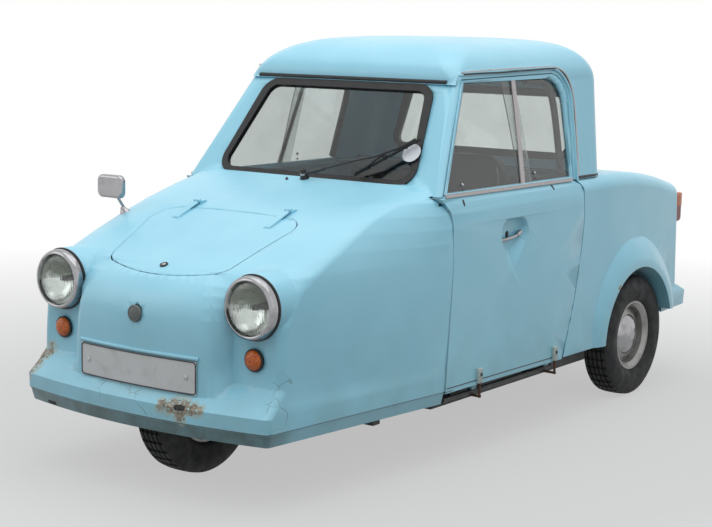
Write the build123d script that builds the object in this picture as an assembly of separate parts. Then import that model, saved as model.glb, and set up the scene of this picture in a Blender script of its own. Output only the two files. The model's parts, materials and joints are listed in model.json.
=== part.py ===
from build123d import *
import math
import os

os.makedirs("parts", exist_ok=True)

# Three wheeled car. Millimetres. X is across, +X is the car's left side. The nose faces -Y and Z is up.
# The origin is on the ground, in the middle of the length and width.

# Overall sizes
car_length = 2972.0
car_width = 1372.0
nose_end_y = -car_length / 2
tail_end_y = car_length / 2

# Wheels: 10 inch rims with 5.20 section tyres
tyre_radius = 256.0
tyre_width = 132.0
rim_radius = 146.0
rim_width = 96.0
bead_radius = 127.0
front_axle_y = -1136.0
rear_axle_y = 929.0
rear_wheel_x = 584.0
axle_z = tyre_radius
hub_cap_radius = 84.0
hub_cap_foot = 20.0
hub_cap_height = 26.0
stub_axle_radius = 14.0
bearing_gap = 0.05
hub_radius = 34.0

# Lower body, glass fibre
shell = 6.0
panel_gap = 4.0
seal_thickness = 4.0
side_low_z = 268.0
waist_z = 951.0
nose_face_y = nose_end_y + 38.0
door_front_y = -545.0
door_front_top_y = -491.0
door_front_bend_z = 843.0
door_horn_y = -540.0
door_front_half = 643.0
door_rear_low_y = 259.0
door_rear_mid = (374.0, 530.0)
door_rear_top_y = 448.0
door_rear_bend_z = 800.0
door_rear_corner = 42.0
front_join_y = -470.0
bumper_ridge_z = 318.0
bumper_top_z = 352.0
ledge_foot_z = 402.0
wing_face_y = nose_face_y + 96.0
skirt_low_z = 223.0
skirt_top_inset = 3.0
skirt_low_inset = 14.0

# Front body contours, one row for each height.
# Columns: height, front y at the middle, how far the corners lie behind it, half width at the nose corner,
# half width at the join behind the door's front edge, corner radius.
bumper_contours = [
    (side_low_z, nose_end_y + 2, 64, 548, 644, 30),
    (bumper_ridge_z, nose_end_y, 64, 548, 643, 30),
    (bumper_top_z, nose_face_y + 2, 62, 545, 640, 32),
    (ledge_foot_z, wing_face_y + 2, 6, 540, 636, 26),
]
wing_contours = [
    (side_low_z, wing_face_y, 6, 544, 643, 26),
    (460, wing_face_y, 6, 542, 638, 30),
    (600, wing_face_y, 8, 540, 634, 44),
    (660, wing_face_y + 4, 12, 538, 632, 72),
    (706, wing_face_y + 16, 22, 536, 631, 105),
    (744, nose_face_y + 134, 40, 534, 630, 136),
    (800, nose_face_y + 272, 12, 524, 628, 150),
    (850, nose_face_y + 396, 8, 510, 624, 150),
    (897, nose_face_y + 531, 8, 496, 616, 140),
    (940, nose_face_y + 698, 6, 486, 602, 120),
    (972, nose_face_y + 840, 5, 470, 572, 80),
    (988, nose_face_y + 894, 4, 440, 520, 50),
]

# The nose between the wings stands forward of them, one row for each height.
# Columns: height, front y at the middle, half width, how far its edges lie behind the middle, how far its
# sides spread and run back to meet the wings, corner radius.
nose_contours = [
    (side_low_z, nose_face_y, 300, 22, 40, 76, 46),
    (460, nose_face_y, 300, 22, 40, 76, 46),
    (540, nose_face_y, 296, 23, 46, 75, 54),
    (598, nose_face_y + 3, 286, 24, 60, 72, 66),
    (640, nose_face_y + 15, 272, 24, 80, 62, 80),
    (676, nose_face_y + 36, 254, 22, 104, 56, 90),
    (706, nose_face_y + 66, 234, 19, 124, 44, 80),
    (732, nose_face_y + 106, 214, 15, 130, 30, 60),
    (756, nose_face_y + 164, 200, 8, 130, 12, 40),
]

# The door's section, one row for each height.
# Columns: height, half width at its front end, half width at its rear end.
door_contours = [
    (262, 641, 665),
    (850, 622, 635),
    (900, 614, 631),
    (932, 603, 620),
    (951, 594, 600),
]
nose_back_y = -1248
headlamp_x = 432.0
headlamp_z = 656.0
headlamp_rim_radius = 104.0
headlamp_lens_radius = 88.0
headlamp_rim_depth = 36.0
headlamp_bowl_depth = 46.0
headlamp_bowl_step = 12.0
headlamp_lens_set_back = 12.0
headlamp_lens_bulge = 16.0
headlamp_lens_edge = 6.0
headlamp_rim_y = wing_face_y - headlamp_rim_depth - 1
nacelle_radius = 108.0
nacelle_front_y = headlamp_rim_y + headlamp_rim_depth
nacelle_back_y = -1120.0
indicator_z = 485.0
indicator_radius = 37.0
indicator_front_y = wing_face_y - 22
indicator_back_y = wing_face_y + 24
indicator_dome_height = 20.0
indicator_dome_inset = 3.0
nose_cap_z = 598.0
nose_cap_radius = 28.5
nose_cap_proud = 4.0
nose_cap_dome = 7.0
plate_width = 520.0
plate_height = 111.0
plate_z = 413.0
plate_thickness = 2.0
plate_bend = 16.0
plate_proud = 5.0

# Bonnet lid
lid_front_y = -1362.0
lid_front_side_y = -1300.0
lid_front_half = 266.0
lid_back_half = 336.0
lid_back_y = -930.0
lid_back_side_y = -946.0
lid_front_corner = 60.0
lid_back_corner = 84.0
lid_hinge_x = 209.0
lid_hinge_y = -906.0
lid_hinge_z = 911.0
strap_width = 28.0
strap_thickness = 4.0
strap_land = 28.0
strap_tip_y = -1024.0
knuckle_radius = 6.0
knuckle_half = 4.5
hinge_pin_radius = 3.0
hinge_leaf_length = 34.0

# Cabin above the waist. The windscreen's face leans back.
screen_low_z = 957.0
screen_top_z = 1346.0
screen_low_y = -530.0
screen_top_y = -268.0
cabin_low_half = 590.0
cabin_low_rear_half = 604.0
cabin_top_half = 480.0
cabin_top_rear_half = 535.0
cabin_low_rear_y = 660.0
cabin_top_rear_y = 735.0
pillar_corner = 26.0
cabin_rear_corner = 70.0
cabin_base_z = 930.0
cabin_wall = 8.0
pillar_depth = 30.0
pillar_foot_cut_y = -500.0
post_split_y = screen_top_y + 90
side_top_z = 1410.0
header_z = screen_top_z - 9
header_low_z = screen_top_z - 14
lip_proud = 8.0

# Roof contours, one row for each height.
# Columns: height, front y, half width at the front, half width at the rear, rear y, front corner radius,
# rear corner radius.
roof_contours = [
    (header_low_z, screen_top_y - 6, cabin_top_half + 1, cabin_top_rear_half, cabin_top_rear_y - 4, 26, 70),
    (screen_top_z, screen_top_y - lip_proud, cabin_top_half, cabin_top_rear_half, cabin_top_rear_y, 34, 72),
    (1384, screen_top_y - 2, 469, 528, 736, 60, 84),
    (1432, screen_top_y + 40, 436, 498, 722, 90, 100),
    (1470, screen_top_y + 112, 380, 446, 692, 120, 120),
    (1491, screen_top_y + 196, 300, 366, 646, 120, 120),
    (1499, screen_top_y + 275, 222, 284, 572, 110, 110),
    (1502, screen_top_y + 352, 146, 204, 500, 90, 90),
]

# Windscreen and rear window outlines, each on its own face of the cabin
screen_rubber_low_half = 468.0
screen_rubber_top_half = 392.0
screen_rubber_low_z = 972.0
screen_rubber_top_z = 1334.0
screen_rubber_corner = 78.0
rear_glass_low_half = 455.0
rear_glass_top_half = 410.0
rear_glass_low_z = 1000.0
rear_glass_top_z = 1290.0
rear_glass_corner = 60.0
rubber_width = 31.0
rubber_lap = 12.0
rubber_proud = 6.0
rubber_depth = 16.0
glass_thickness = 5.0

# Door opening and window in side view, as (y, z) points
gutter_front_low = (-580.0, 900.0)
gutter_front_top = (-256.0, 1381.0)
gutter_rear_top = (505.0, 1400.0)
gutter_rear_low = (431.0, 900.0)
gutter_corner = 125.0
gutter_width = 10.0
gutter_proud = 8.0
opening_margin = 24.0
frame_margin = 28.0
window_front_low = (-486.0, 966.0)
window_front_top = (-228.0, 1343.0)
window_rear_top = (432.0, 1354.0)
window_rear_low = (402.0, 966.0)
window_corner = 95.0
door_low_z = 262.0
door_thickness = 44.0
frame_thickness = 20.0
pane_thickness = 4.0
front_pane_depth = 6.0
rear_pane_depth = 12.0
divider_low_y = 34.0
divider_top_y = 96.0
divider_width = 26.0
channel_height = 12.0
channel_width = 14.0
channel_front_y = -506.0
handle_y = -95.0
handle_z = 782.0
handle_boss_radius = 13.0
lever_radius = 6.0
lever_front_reach = 72.0
lever_rear_reach = 66.0
lever_drop = 8.0
lever_rise = 5.0
hook_front_y = -333.0
hook_rear_y = 200.0
hook_radius = 5.0
hook_bolt_z = 290.0
hook_bolt_radius = 9.0
rail_radius = 9.0
door_rail_x = 618.0
door_rail_z = 232.0
recess_depth = 28.0

# The drop-shaped recess behind the door handle: its rim on the door's face, and its floor.
# Columns: y, z, corner radius.
recess_rim = [
    (-172, 854, 55), (20, 854, 55), (28, 770, 70), (-80, 632, 14), (-112, 632, 14), (-182, 770, 70),
]
recess_floor = [
    (-150, 838, 36), (-2, 838, 36), (2, 786, 34), (-80, 722, 12), (-112, 722, 12), (-158, 786, 34),
]
rail_bracket_front_y = -450.0
rail_bracket_rear_y = 100.0
shoe_half = 10.0

# Wing mirror and wiper
mirror_foot = (-480.0, -1000.0, 858.0)
mirror_foot_radius = 13.0
mirror_foot_height = 8.0
mirror_stem_radius = 5.0
mirror_head = (-500.0, -1052.0, 952.0)
mirror_half_width = 62.0
mirror_half_height = 42.0
mirror_half_depth = 9.0
mirror_corner = 22.0
mirror_back_edge = 7.0
wiper_pivot = (8.0, -556.0, 998.0)
wiper_elbow = (222.0, -540.0, 1012.0)
wiper_tip = (417.0, -416.0, 1150.0)
wiper_post_radius = 11.0
wiper_arm_radius = 4.0

# Rear body
tail_y = 1414.0
tail_half = 612.0
tail_top_half = 600.0
tail_corner = 60.0
rear_shoulder = 60.0
deck_front_z = 958.0
deck_mid_z = 932.0
deck_rear_z = 862.0
deck_curve_start_y = 640.0
deck_mid_y = 1083.0
arch_y = 886.0
arch_z = 256.0
arch_radius = 303.0
arch_liner_reach = 88.0
flare_outer_x = car_width / 2
flare_lip = 24.0
flare_reach = 128.0
flare_inner_x = 610.0
rear_side_front_y = 200.0
rear_side_mid_y = 700.0
rear_low_front_half = 661.0
rear_low_mid_half = 668.0
rear_top_front_half = 627.0
rear_top_mid_half = 630.0
rear_bumper_low_z = 322.0
rear_bumper_top_z = 416.0
rear_bumper_ridge_z = 384.0
tail_lamp_z = 762.0
tail_lamp_height = 132.0
tail_lamp_width = 66.0
tail_lamp_outer_x = 602.0
tail_lamp_front_y = tail_y - 50
tail_lamp_back_y = tail_y + 16
tail_lamp_corner = 20.0
rear_plate_z = 560.0
plate_screw_x = 220.0
plate_screw_radius = 5.0
plate_thread_radius = 4.4
plate_thread_depth = 12.0
plate_screw_proud = 5.0
well_side_margin = 40.0
well_rear_margin = 30.0
well_depth = 60.0
flare_crest_inset = 12.0
flare_crest_rise = 58.0
flare_edge = 20.0
arch_liner_foot = 150.0
arch_hole_reach = 60.0
rear_bumper_lap = 20.0
rear_bumper_corner = 36.0
engine_lid_front_y = 806.0
engine_lid_back_y = 1330.0
engine_lid_half = 430.0
engine_lid_corner = 60.0
engine_hinge_x = 230.0
engine_hinge_y = 784.0
engine_hinge_rise = 13.0
engine_strap_length = 118.0

# The rear bumper ledge. Columns: height, half width at the arch, half width at the back, back y.
rear_bumper_contours = [
    (rear_bumper_low_z, 640.0, 616.0, tail_end_y - 6),
    (rear_bumper_ridge_z, 638.0, 618.0, tail_end_y),
    (rear_bumper_top_z, 634.0, 606.0, tail_y + 4),
]

# Chassis and floor
floor_z = 236.0
floor_thickness = 4.0
tube_size = 40.0
rail_x = 300.0
floor_rear_y = 600.0
toe_board_y = -800.0
tray_z = 574.0
tray_front_y = nacelle_front_y + 60
shelf_z = 905.0
dash_front_y = -640.0
dash_back_y = -560.0
dash_low_z = 840.0
dash_top_z = 900.0
dial_radius = 36.0

# Front fork and steering head
steer_tilt_deg = 12.0
head_y = -1090.0
head_z = 560.0
head_tube_radius = 30.0
stem_radius = 16.0
head_tube_length = 140.0
upright_x = 150.0
sill_x = 560.0
fork_leg_x = -104.0
fork_leg_thickness = 24.0
fork_foot_half = 34.0
fork_foot_drop = 30.0
crown_rise = 30.0
crown_half = 11.0
axle_nut_radius = 18.0
axle_nut_length = 26.0
crown_front_reach = 42.0
crown_back_reach = 28.0
crown_right_x = 26.0
stem_foot_reach = 22.0
stem_top_reach = 6.0
front_axle_end_x = 4.0
column_foot = (86.0, -800.0, 560.0)
column_lean = (0.0, 0.868, 0.497)
column_radius = 11.0
column_tube_radius = 18.0
column_tube_length = 300.0
bar_along = 380.0
bar_half = 180.0
grip_length = 110.0
grip_radius = 16.0
column_free_start = 60.0
boss_radius = 20.0
boss_half = 18.0

# Seat
seat_x = 86.0
seat_width = 440.0
seat_front_y = -130.0
seat_back_y = 330.0
seat_base_z = 430.0
cushion_thickness = 110.0
backrest_height = 540.0
backrest_thickness = 90.0
backrest_lean_deg = 12.0
cushion_corner = 40.0
cushion_edge = 20.0
backrest_corner = 90.0
backrest_edge = 18.0
seat_gap = 6.0
seat_pan_thickness = 20.0
seat_runner_height = 24.0
seat_runner_inset = 60.0
seat_runner_reach = 60.0
seat_pan_inset = 14.0
seat_runner_half = 15.0
seat_leg_inset = 30.0
seat_leg_half = 12.0
stay_inset = 24.0
stay_foot_width = 24.0
stay_top_width = 14.0
stay_top_set_back = 40.0
stay_top_drop = 80.0
stay_thickness = 12.0

# Power unit and rear suspension
engine_half = 250.0
engine_front_y = 960.0
engine_rear_y = 1330.0
engine_top_z = 600.0
gearbox_half = 110.0
gearbox_front_y = 836.0
gearbox_low_z = 176.0
gearbox_top_z = 336.0
arm_pivot_y = 640.0
arm_pivot_z = 300.0
arm_x = 450.0
arm_width = 40.0
damper_radius = 30.0
damper_low_y = 850.0
damper_top_z = 600.0
silencer_radius = 58.0
silencer_half = 170.0
silencer_y = 1392.0
silencer_z = 262.0
tail_pipe_radius = 16.0

tail_pipe_inset = 30.0
tail_pipe_end_y = tail_end_y - 12
silencer_strap_x = 120.0
silencer_strap_half = 15.0
silencer_strap_rise = 20.0
silencer_strap_lap = 14.0
arm_hub_radius = 46.0
arm_hub_reach = 24.0
arm_front_drop = 28.0
arm_front_rise = 18.0
arm_rear_half = 44.0
damper_pad_rise = 8.0
damper_pad_half = 26.0
damper_rod_radius = 9.0
coil_foot_rise = 60.0
coil_top_gap = 12.0
coil_seat_thickness = 8.0
coil_seat_lap = 6.0

# Cross members of the chassis from front to rear, and the rails they join
cross_members_y = (
    toe_board_y - 50, door_front_y + 20, door_rear_low_y - 40, floor_rear_y - 20, engine_front_y + 40,
    engine_rear_y - 30,
)
rail_rear_y = engine_rear_y + 10
door_rail_front_y = door_front_y + 15
door_rail_rear_y = door_rear_low_y - 20
rail_bracket_half = 10.0
rail_bracket_drop = 6.0
rail_bracket_rise = 3.0
bridge_height = 30.0
head_beam_rise = 70.0
head_beam_half = 34.0
head_beam_lap = 10.0
head_bore_reach = 40.0
head_hole_reach = 60.0
wall_hole_gap = 8.0
upright_hole_gap = 5.0
floor_side_gap = 8.0

# Wheel sections. Widths are measured in from the rim's edge, depths from its radius.
rim_thickness = 6.0
rim_flange_height = 8.0
rim_lip_width = 5.0
rim_seat_inset = 9.0
rim_well_inset = 14.0
disc_face_x = 22.0
disc_root_x = 8.0
disc_lap = 4.0
hub_flare = 16.0
hub_inner_x = -30.0
tyre_bead_inset = 6.0
tyre_bead_gap = 1.0
tyre_foot_inset = 4.0
tyre_foot_rise = 2.0
tyre_shoulder_inset = 14.0
tyre_shoulder_drop = 12.0
tyre_swell_drop = 6.0

# Small running gap between solids that would otherwise touch along curves
close_gap = 0.3


def slab(x, y, z):
    """A plain box between its low and high places along each axis."""
    block = Box(x[1] - x[0], y[1] - y[0], z[1] - z[0])
    return Pos((x[0] + x[1]) / 2, (y[0] + y[1]) / 2, (z[0] + z[1]) / 2) * block


def rod(start, end, radius):
    """A round bar from start to end."""
    line = Vector(*end) - Vector(*start)
    plane = Plane(origin=start, z_dir=line)
    return plane * Cylinder(radius, line.length, align=(Align.CENTER, Align.CENTER, Align.MIN))


def ring(start, end, radius, bore):
    """A round tube from start to end."""
    step = (Vector(*end) - Vector(*start)).normalized()
    first = Vector(*start) - step
    last = Vector(*end) + step
    return rod(start, end, radius) - rod(tuple(first), tuple(last), bore)


def side_face(points, rounded=(), radius=0.0):
    """A closed outline in side view through (y, z) points, with the named points rounded."""
    face = make_face(Plane.YZ * Polyline(*points, close=True))
    for y, z in rounded:
        corner = min(face.vertices(), key=lambda v: abs(v.Y - y) + abs(v.Z - z))
        face = fillet(corner, radius)
    return face


def side_prism(face, x_low, x_high):
    """A side view outline drawn out across the car between two places."""
    return extrude(Pos(x_low, 0, 0) * face, amount=x_high - x_low, dir=(1, 0, 0))


def mirrored(shape):
    return mirror(shape, about=Plane.YZ)


def between(low, high, share):
    return low + (high - low) * share


def body_section(row, inset=0.0):
    """One level outline of the front body, from its front arc to the join behind the doors' front edge."""
    z, front_y, bow, front_half, join_half, corner = row
    front = front_y + inset
    half = front_half - inset
    join = join_half - inset
    arc = ThreePointArc((-half, front + bow), (0, front), (half, front + bow))
    sides = Polyline((half, front + bow), (join, front_join_y), (-join, front_join_y), (-half, front + bow))
    face = make_face([arc, sides])
    corners = [v for v in face.vertices() if v.Y < front + bow + 1]
    face = fillet(corners, max(corner - inset, 5))
    drop = inset if z > headlamp_z else 0
    return Pos(0, 0, z - drop) * face


def nose_section(row, inset=0.0):
    """One level outline of the nose between the wings."""
    z, front_y, front_half, bow, spread, run, corner = row
    half = front_half - inset
    front = front_y + inset
    arc = ThreePointArc((-half, front + bow), (0, front), (half, front + bow))
    foot = half + spread
    foot_y = front + bow + run
    back = Polyline((half, front + bow), (foot, foot_y), (foot, nose_back_y), (-foot, nose_back_y),
                    (-foot, foot_y), (-half, front + bow))
    face = make_face([arc, back])
    corners = [v for v in face.vertices() if v.Y < front + bow + 1]
    face = fillet(corners, corner)
    return Pos(0, 0, z) * face


def front_form(inset=0.0):
    """The whole front body as a solid: bumper ledge, wings, bonnet and nose."""
    lower = loft([body_section(row, inset) for row in bumper_contours], ruled=True)
    wings = loft([body_section(row, inset) for row in wing_contours], ruled=True)
    nose = loft([nose_section(row, inset) for row in nose_contours], ruled=True)
    form = lower + wings + nose
    if inset == 0:
        for side in (-1, 1):
            start = (side * headlamp_x, nacelle_front_y, headlamp_z)
            end = (side * headlamp_x, nacelle_back_y, headlamp_z)
            form += rod(start, end, nacelle_radius)
    return form


def cabin_outline(z, front_y, front_half, rear_half, rear_y, front_corner, rear_corner, inset, drop=0.0):
    """One level outline of the cabin or roof."""
    front = front_y + inset
    rear = rear_y - inset
    points = [(inset - front_half, front), (front_half - inset, front),
              (rear_half - inset, rear), (inset - rear_half, rear)]
    face = make_face(Polyline(*points, close=True))
    face = fillet([v for v in face.vertices() if v.Y < front + 1], max(front_corner - inset, 2))
    face = fillet([v for v in face.vertices() if v.Y > rear - 1], max(rear_corner - inset, 2))
    return Pos(0, 0, z - drop) * face


def cabin_row(z):
    """Cabin sizes at a height, on the straight lines between the waist and the roof's edge."""
    share = (z - screen_low_z) / (screen_top_z - screen_low_z)
    return (z, between(screen_low_y, screen_top_y, share),
            between(cabin_low_half, cabin_top_half, share),
            between(cabin_low_rear_half, cabin_top_rear_half, share),
            between(cabin_low_rear_y, cabin_top_rear_y, share), pillar_corner, cabin_rear_corner)


def cabin_form(inset=0.0, top_z=screen_top_z):
    """The cabin from just below the waist to the roof's edge, or on up its straight sides."""
    rows = (cabin_row(cabin_base_z), cabin_row(top_z))
    return loft([cabin_outline(*row, inset) for row in rows], ruled=True)


def side_sheet(outer, inner):
    """The cabin's straight sides up to the gutter, between two depths below the surface."""
    return cabin_form(outer, side_top_z) - cabin_form(inner, side_top_z)


def roof_form(inset=0.0):
    """The roof above its edge."""
    sections = [cabin_outline(*row, inset, inset if row[0] > screen_top_z else 0) for row in roof_contours]
    return loft(sections, ruled=inset > 0)


def opening_face(margin):
    """The cabin side's opening in side view, drawn in by a margin from the gutter's outer edge."""
    points = [gutter_front_low, gutter_front_top, gutter_rear_top, gutter_rear_low]
    face = side_face(points, rounded=(gutter_rear_top,), radius=gutter_corner)
    if margin == 0:
        return face
    return offset(face, amount=-margin, kind=Kind.INTERSECTION)


def door_face(gap=0.0):
    """The door in side view below the window, grown by a gap. Its front edge ends in a short horn."""
    points = (
        Line((door_front_y, door_low_z), (door_front_top_y, between(door_low_z, waist_z, 0.64))),
        Line((door_front_top_y, between(door_low_z, waist_z, 0.64)), (door_front_top_y, door_front_bend_z)),
        ThreePointArc((door_front_top_y, door_front_bend_z),
                      (between(door_front_top_y, door_horn_y, 0.24),
                       between(door_front_bend_z, waist_z, 0.62)),
                      (door_horn_y, waist_z)),
        Line((door_horn_y, waist_z), (door_rear_top_y - door_rear_corner, waist_z)),
        ThreePointArc((door_rear_top_y - door_rear_corner, waist_z),
                      (door_rear_top_y - door_rear_corner * (1 - math.sqrt(0.5)),
                       waist_z - door_rear_corner * (1 - math.sqrt(0.5))),
                      (door_rear_top_y, waist_z - door_rear_corner)),
        Line((door_rear_top_y, waist_z - door_rear_corner), (door_rear_top_y, door_rear_bend_z)),
        ThreePointArc((door_rear_top_y, door_rear_bend_z), door_rear_mid, (door_rear_low_y, door_low_z)),
        Line((door_rear_low_y, door_low_z), (door_front_y, door_low_z)),
    )
    face = make_face([Plane.YZ * edge for edge in points])
    return offset(face, amount=gap) if gap else face


def window_face():
    """The door window in side view."""
    points = [window_front_low, window_front_top, window_rear_top, window_rear_low]
    return side_face(points, rounded=(window_rear_top,), radius=window_corner)


def sloping_plane(low_y, low_z, top_y, top_z, facing):
    """A plane on the cabin's front or rear face, its own y running up the slope."""
    rise = Vector(0, top_y - low_y, top_z - low_z).normalized()
    out = Vector(0, facing * rise.Z, -facing * rise.Y)
    across = rise.cross(out)
    return Plane(origin=(0, low_y, low_z), x_dir=across, z_dir=out), rise.Z


def window_outline(low_half, top_half, low, top, corner, inset=0.0):
    """A rounded window outline on its own plane."""
    points = [(inset - low_half, low + inset), (low_half - inset, low + inset),
              (top_half - inset, top - inset), (inset - top_half, top - inset)]
    face = make_face(Polyline(*points, close=True))
    return fillet(face.vertices(), corner - inset)


def window_set(low_half, top_half, low_z, top_z, corner, plane, steepness):
    """A window's cutter, rubber and glass."""
    base_z = plane.origin.Z
    low = (low_z - base_z) / steepness
    top = (top_z - base_z) / steepness
    outer = window_outline(low_half, top_half, low, top, corner)
    sight = window_outline(low_half, top_half, low, top, corner, rubber_width)
    pane = window_outline(low_half, top_half, low, top, corner, rubber_width - rubber_lap)
    cutter = plane * Pos(0, 0, -4 * rubber_depth) * extrude(outer, amount=8 * rubber_depth)
    glass = plane * Pos(0, 0, -rubber_depth / 2) * extrude(pane, amount=glass_thickness)
    rubber = plane * Pos(0, 0, -rubber_depth) * extrude(outer, amount=rubber_depth + rubber_proud)
    rubber -= plane * Pos(0, 0, -4 * rubber_depth) * extrude(sight, amount=8 * rubber_depth)
    return cutter, rubber - glass, glass


def rear_section(z, front_half, mid_half, back_half, inset=0.0):
    """One level outline of the rear body."""
    right = [(front_half - inset, rear_side_front_y), (mid_half - inset, rear_side_mid_y),
             (back_half - inset, tail_y - inset)]
    left = [(-x, y) for x, y in reversed(right)]
    face = make_face(Polyline(*right, *left, close=True))
    face = fillet([v for v in face.vertices() if v.Y > tail_y - inset - 1], tail_corner - inset)
    return Pos(0, 0, z) * face


def rear_form(inset=0.0):
    """The rear body as a solid, with its sloping deck and rounded top edges."""
    top_z = deck_front_z + 20
    low = rear_section(side_low_z, rear_low_front_half, rear_low_mid_half, tail_half, inset)
    high = rear_section(top_z, rear_top_front_half, rear_top_mid_half, tail_top_half, inset)
    form = loft([low, high], ruled=True)
    front = rear_side_front_y
    top_z = deck_front_z - inset
    flat = Polyline((front, side_low_z), (front, top_z), (deck_curve_start_y, top_z))
    slope = ThreePointArc((deck_curve_start_y, deck_front_z - inset), (deck_mid_y, deck_mid_z - inset),
                          (tail_y, deck_rear_z - inset))
    back = Polyline((tail_y, deck_rear_z - inset), (tail_y, side_low_z), (front, side_low_z))
    profile = make_face([Plane.YZ * flat, Plane.YZ * slope, Plane.YZ * back])
    form = form & side_prism(profile, -tail_half - 200, tail_half + 200)
    edges = [e for e in form.edges() if e.center().Z > deck_rear_z - inset - 30 and e.center().Y > front + 1]
    return fillet(edges, rear_shoulder - inset)


def lid_face(gap):
    """The bonnet lid's outline from above, drawn in by the shut line. Its front and back edges are bowed."""
    front_half, back_half = lid_front_half - gap, lid_back_half - gap
    front_y, back_y = lid_front_side_y + gap, lid_back_side_y - gap
    face = make_face([
        ThreePointArc((-front_half, front_y), (0, lid_front_y + gap), (front_half, front_y)),
        Line((front_half, front_y), (back_half, back_y)),
        ThreePointArc((back_half, back_y), (0, lid_back_y - gap), (-back_half, back_y)),
        Line((-back_half, back_y), (-front_half, front_y)),
    ])
    middle_y = (front_y + back_y) / 2
    face = fillet([v for v in face.vertices() if v.Y < middle_y], lid_front_corner - gap)
    return fillet([v for v in face.vertices() if v.Y > middle_y], lid_back_corner - gap)


def largest(shape):
    return max(shape.solids(), key=lambda s: s.volume)


far = 2 * car_width
door_ends = (door_front_y - 20, door_rear_top_y + 20)


def front_panels(screen_cutter):
    """The front body shell with its screen frame, and the bonnet lid."""
    skin = front_form() - front_form(shell)
    opening = side_prism(opening_face(opening_margin), -far, far)
    skin -= side_prism(door_face(panel_gap), -far, far)
    skin -= opening
    lid = skin & extrude(Pos(0, 0, bumper_top_z) * lid_face(panel_gap), amount=screen_top_z)
    skin -= extrude(Pos(0, 0, bumper_top_z) * lid_face(0), amount=screen_top_z)
    for x in (-headlamp_x, headlamp_x):
        start = (x, nose_end_y, headlamp_z)
        skin -= rod(start, (x, nacelle_front_y + 70, headlamp_z), headlamp_rim_radius - headlamp_bowl_step)
        skin -= rod(start, (x, nacelle_front_y, headlamp_z), headlamp_rim_radius + close_gap)
        start, end = (x, nose_end_y, indicator_z), (x, indicator_back_y + 10, indicator_z)
        skin -= rod(start, end, indicator_radius + close_gap)
    for x in (-plate_screw_x, plate_screw_x):
        skin -= rod((x, nose_end_y, plate_z), (x, nose_face_y + 80, plate_z), plate_screw_radius + close_gap)
    skin -= rod((0, nose_end_y, nose_cap_z), (0, nose_face_y + 40, nose_cap_z), nose_cap_radius + close_gap)
    posts = cabin_form() - cabin_form(pillar_depth)
    posts -= opening
    post_low_z = waist_z + panel_gap
    zone = side_face([(-far, cabin_base_z), (door_front_y, cabin_base_z), (door_front_y, post_low_z),
                      (post_split_y, post_low_z), (post_split_y, header_z), (-far, header_z)])
    posts &= side_prism(zone, -far, far)
    return largest(skin + posts - screen_cutter), largest(lid)


def skirt():
    """The separate strip below the seam, round the nose and back to the doors."""
    edges = ((side_low_z, skirt_top_inset), (skirt_low_z, skirt_low_inset))

    def form(extra):
        sections = [Pos(0, 0, z - side_low_z) * body_section(bumper_contours[0], inset + extra)
                    for z, inset in edges]
        return loft(sections, ruled=True)

    strip = form(0) - form(shell)
    return strip - slab((-far, far), (door_front_y, far), (0, waist_z))


def roof_panel(screen_cutter, rear_cutter):
    """The roof moulding with its rear quarters, rear window frame and gutters."""
    skin = cabin_form() - cabin_form(cabin_wall)
    skin += roof_form() - roof_form(cabin_wall)
    skin -= side_prism(opening_face(opening_margin), -far, far)
    front = side_face([(-far, 0), (pillar_foot_cut_y, 0), (pillar_foot_cut_y, waist_z),
                       (post_split_y, waist_z), (post_split_y, header_z), (-far, header_z)])
    below = slab((-far, far), (-far, 0), (0, waist_z)) + rear_form(-seal_thickness)
    gutter = opening_face(0)
    bead = side_prism(gutter, -far, far) - side_prism(opening_face(gutter_width), -far, far)
    bead &= side_sheet(-gutter_proud, cabin_wall / 2)
    bead -= slab((-far, far), (-far, screen_top_y - 20), (0, far))
    skin = skin + bead - side_prism(front, -far, far) - below
    return largest(skin - rear_cutter - screen_cutter)


def roof_seal():
    """The rubber strip between the roof's rear quarters and the rear body."""
    strip = rear_form(-seal_thickness) - rear_form()
    strip &= cabin_form(1) - cabin_form(cabin_wall - 1)
    strip -= side_prism(opening_face(opening_margin), -far, far)
    return largest(strip)


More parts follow.
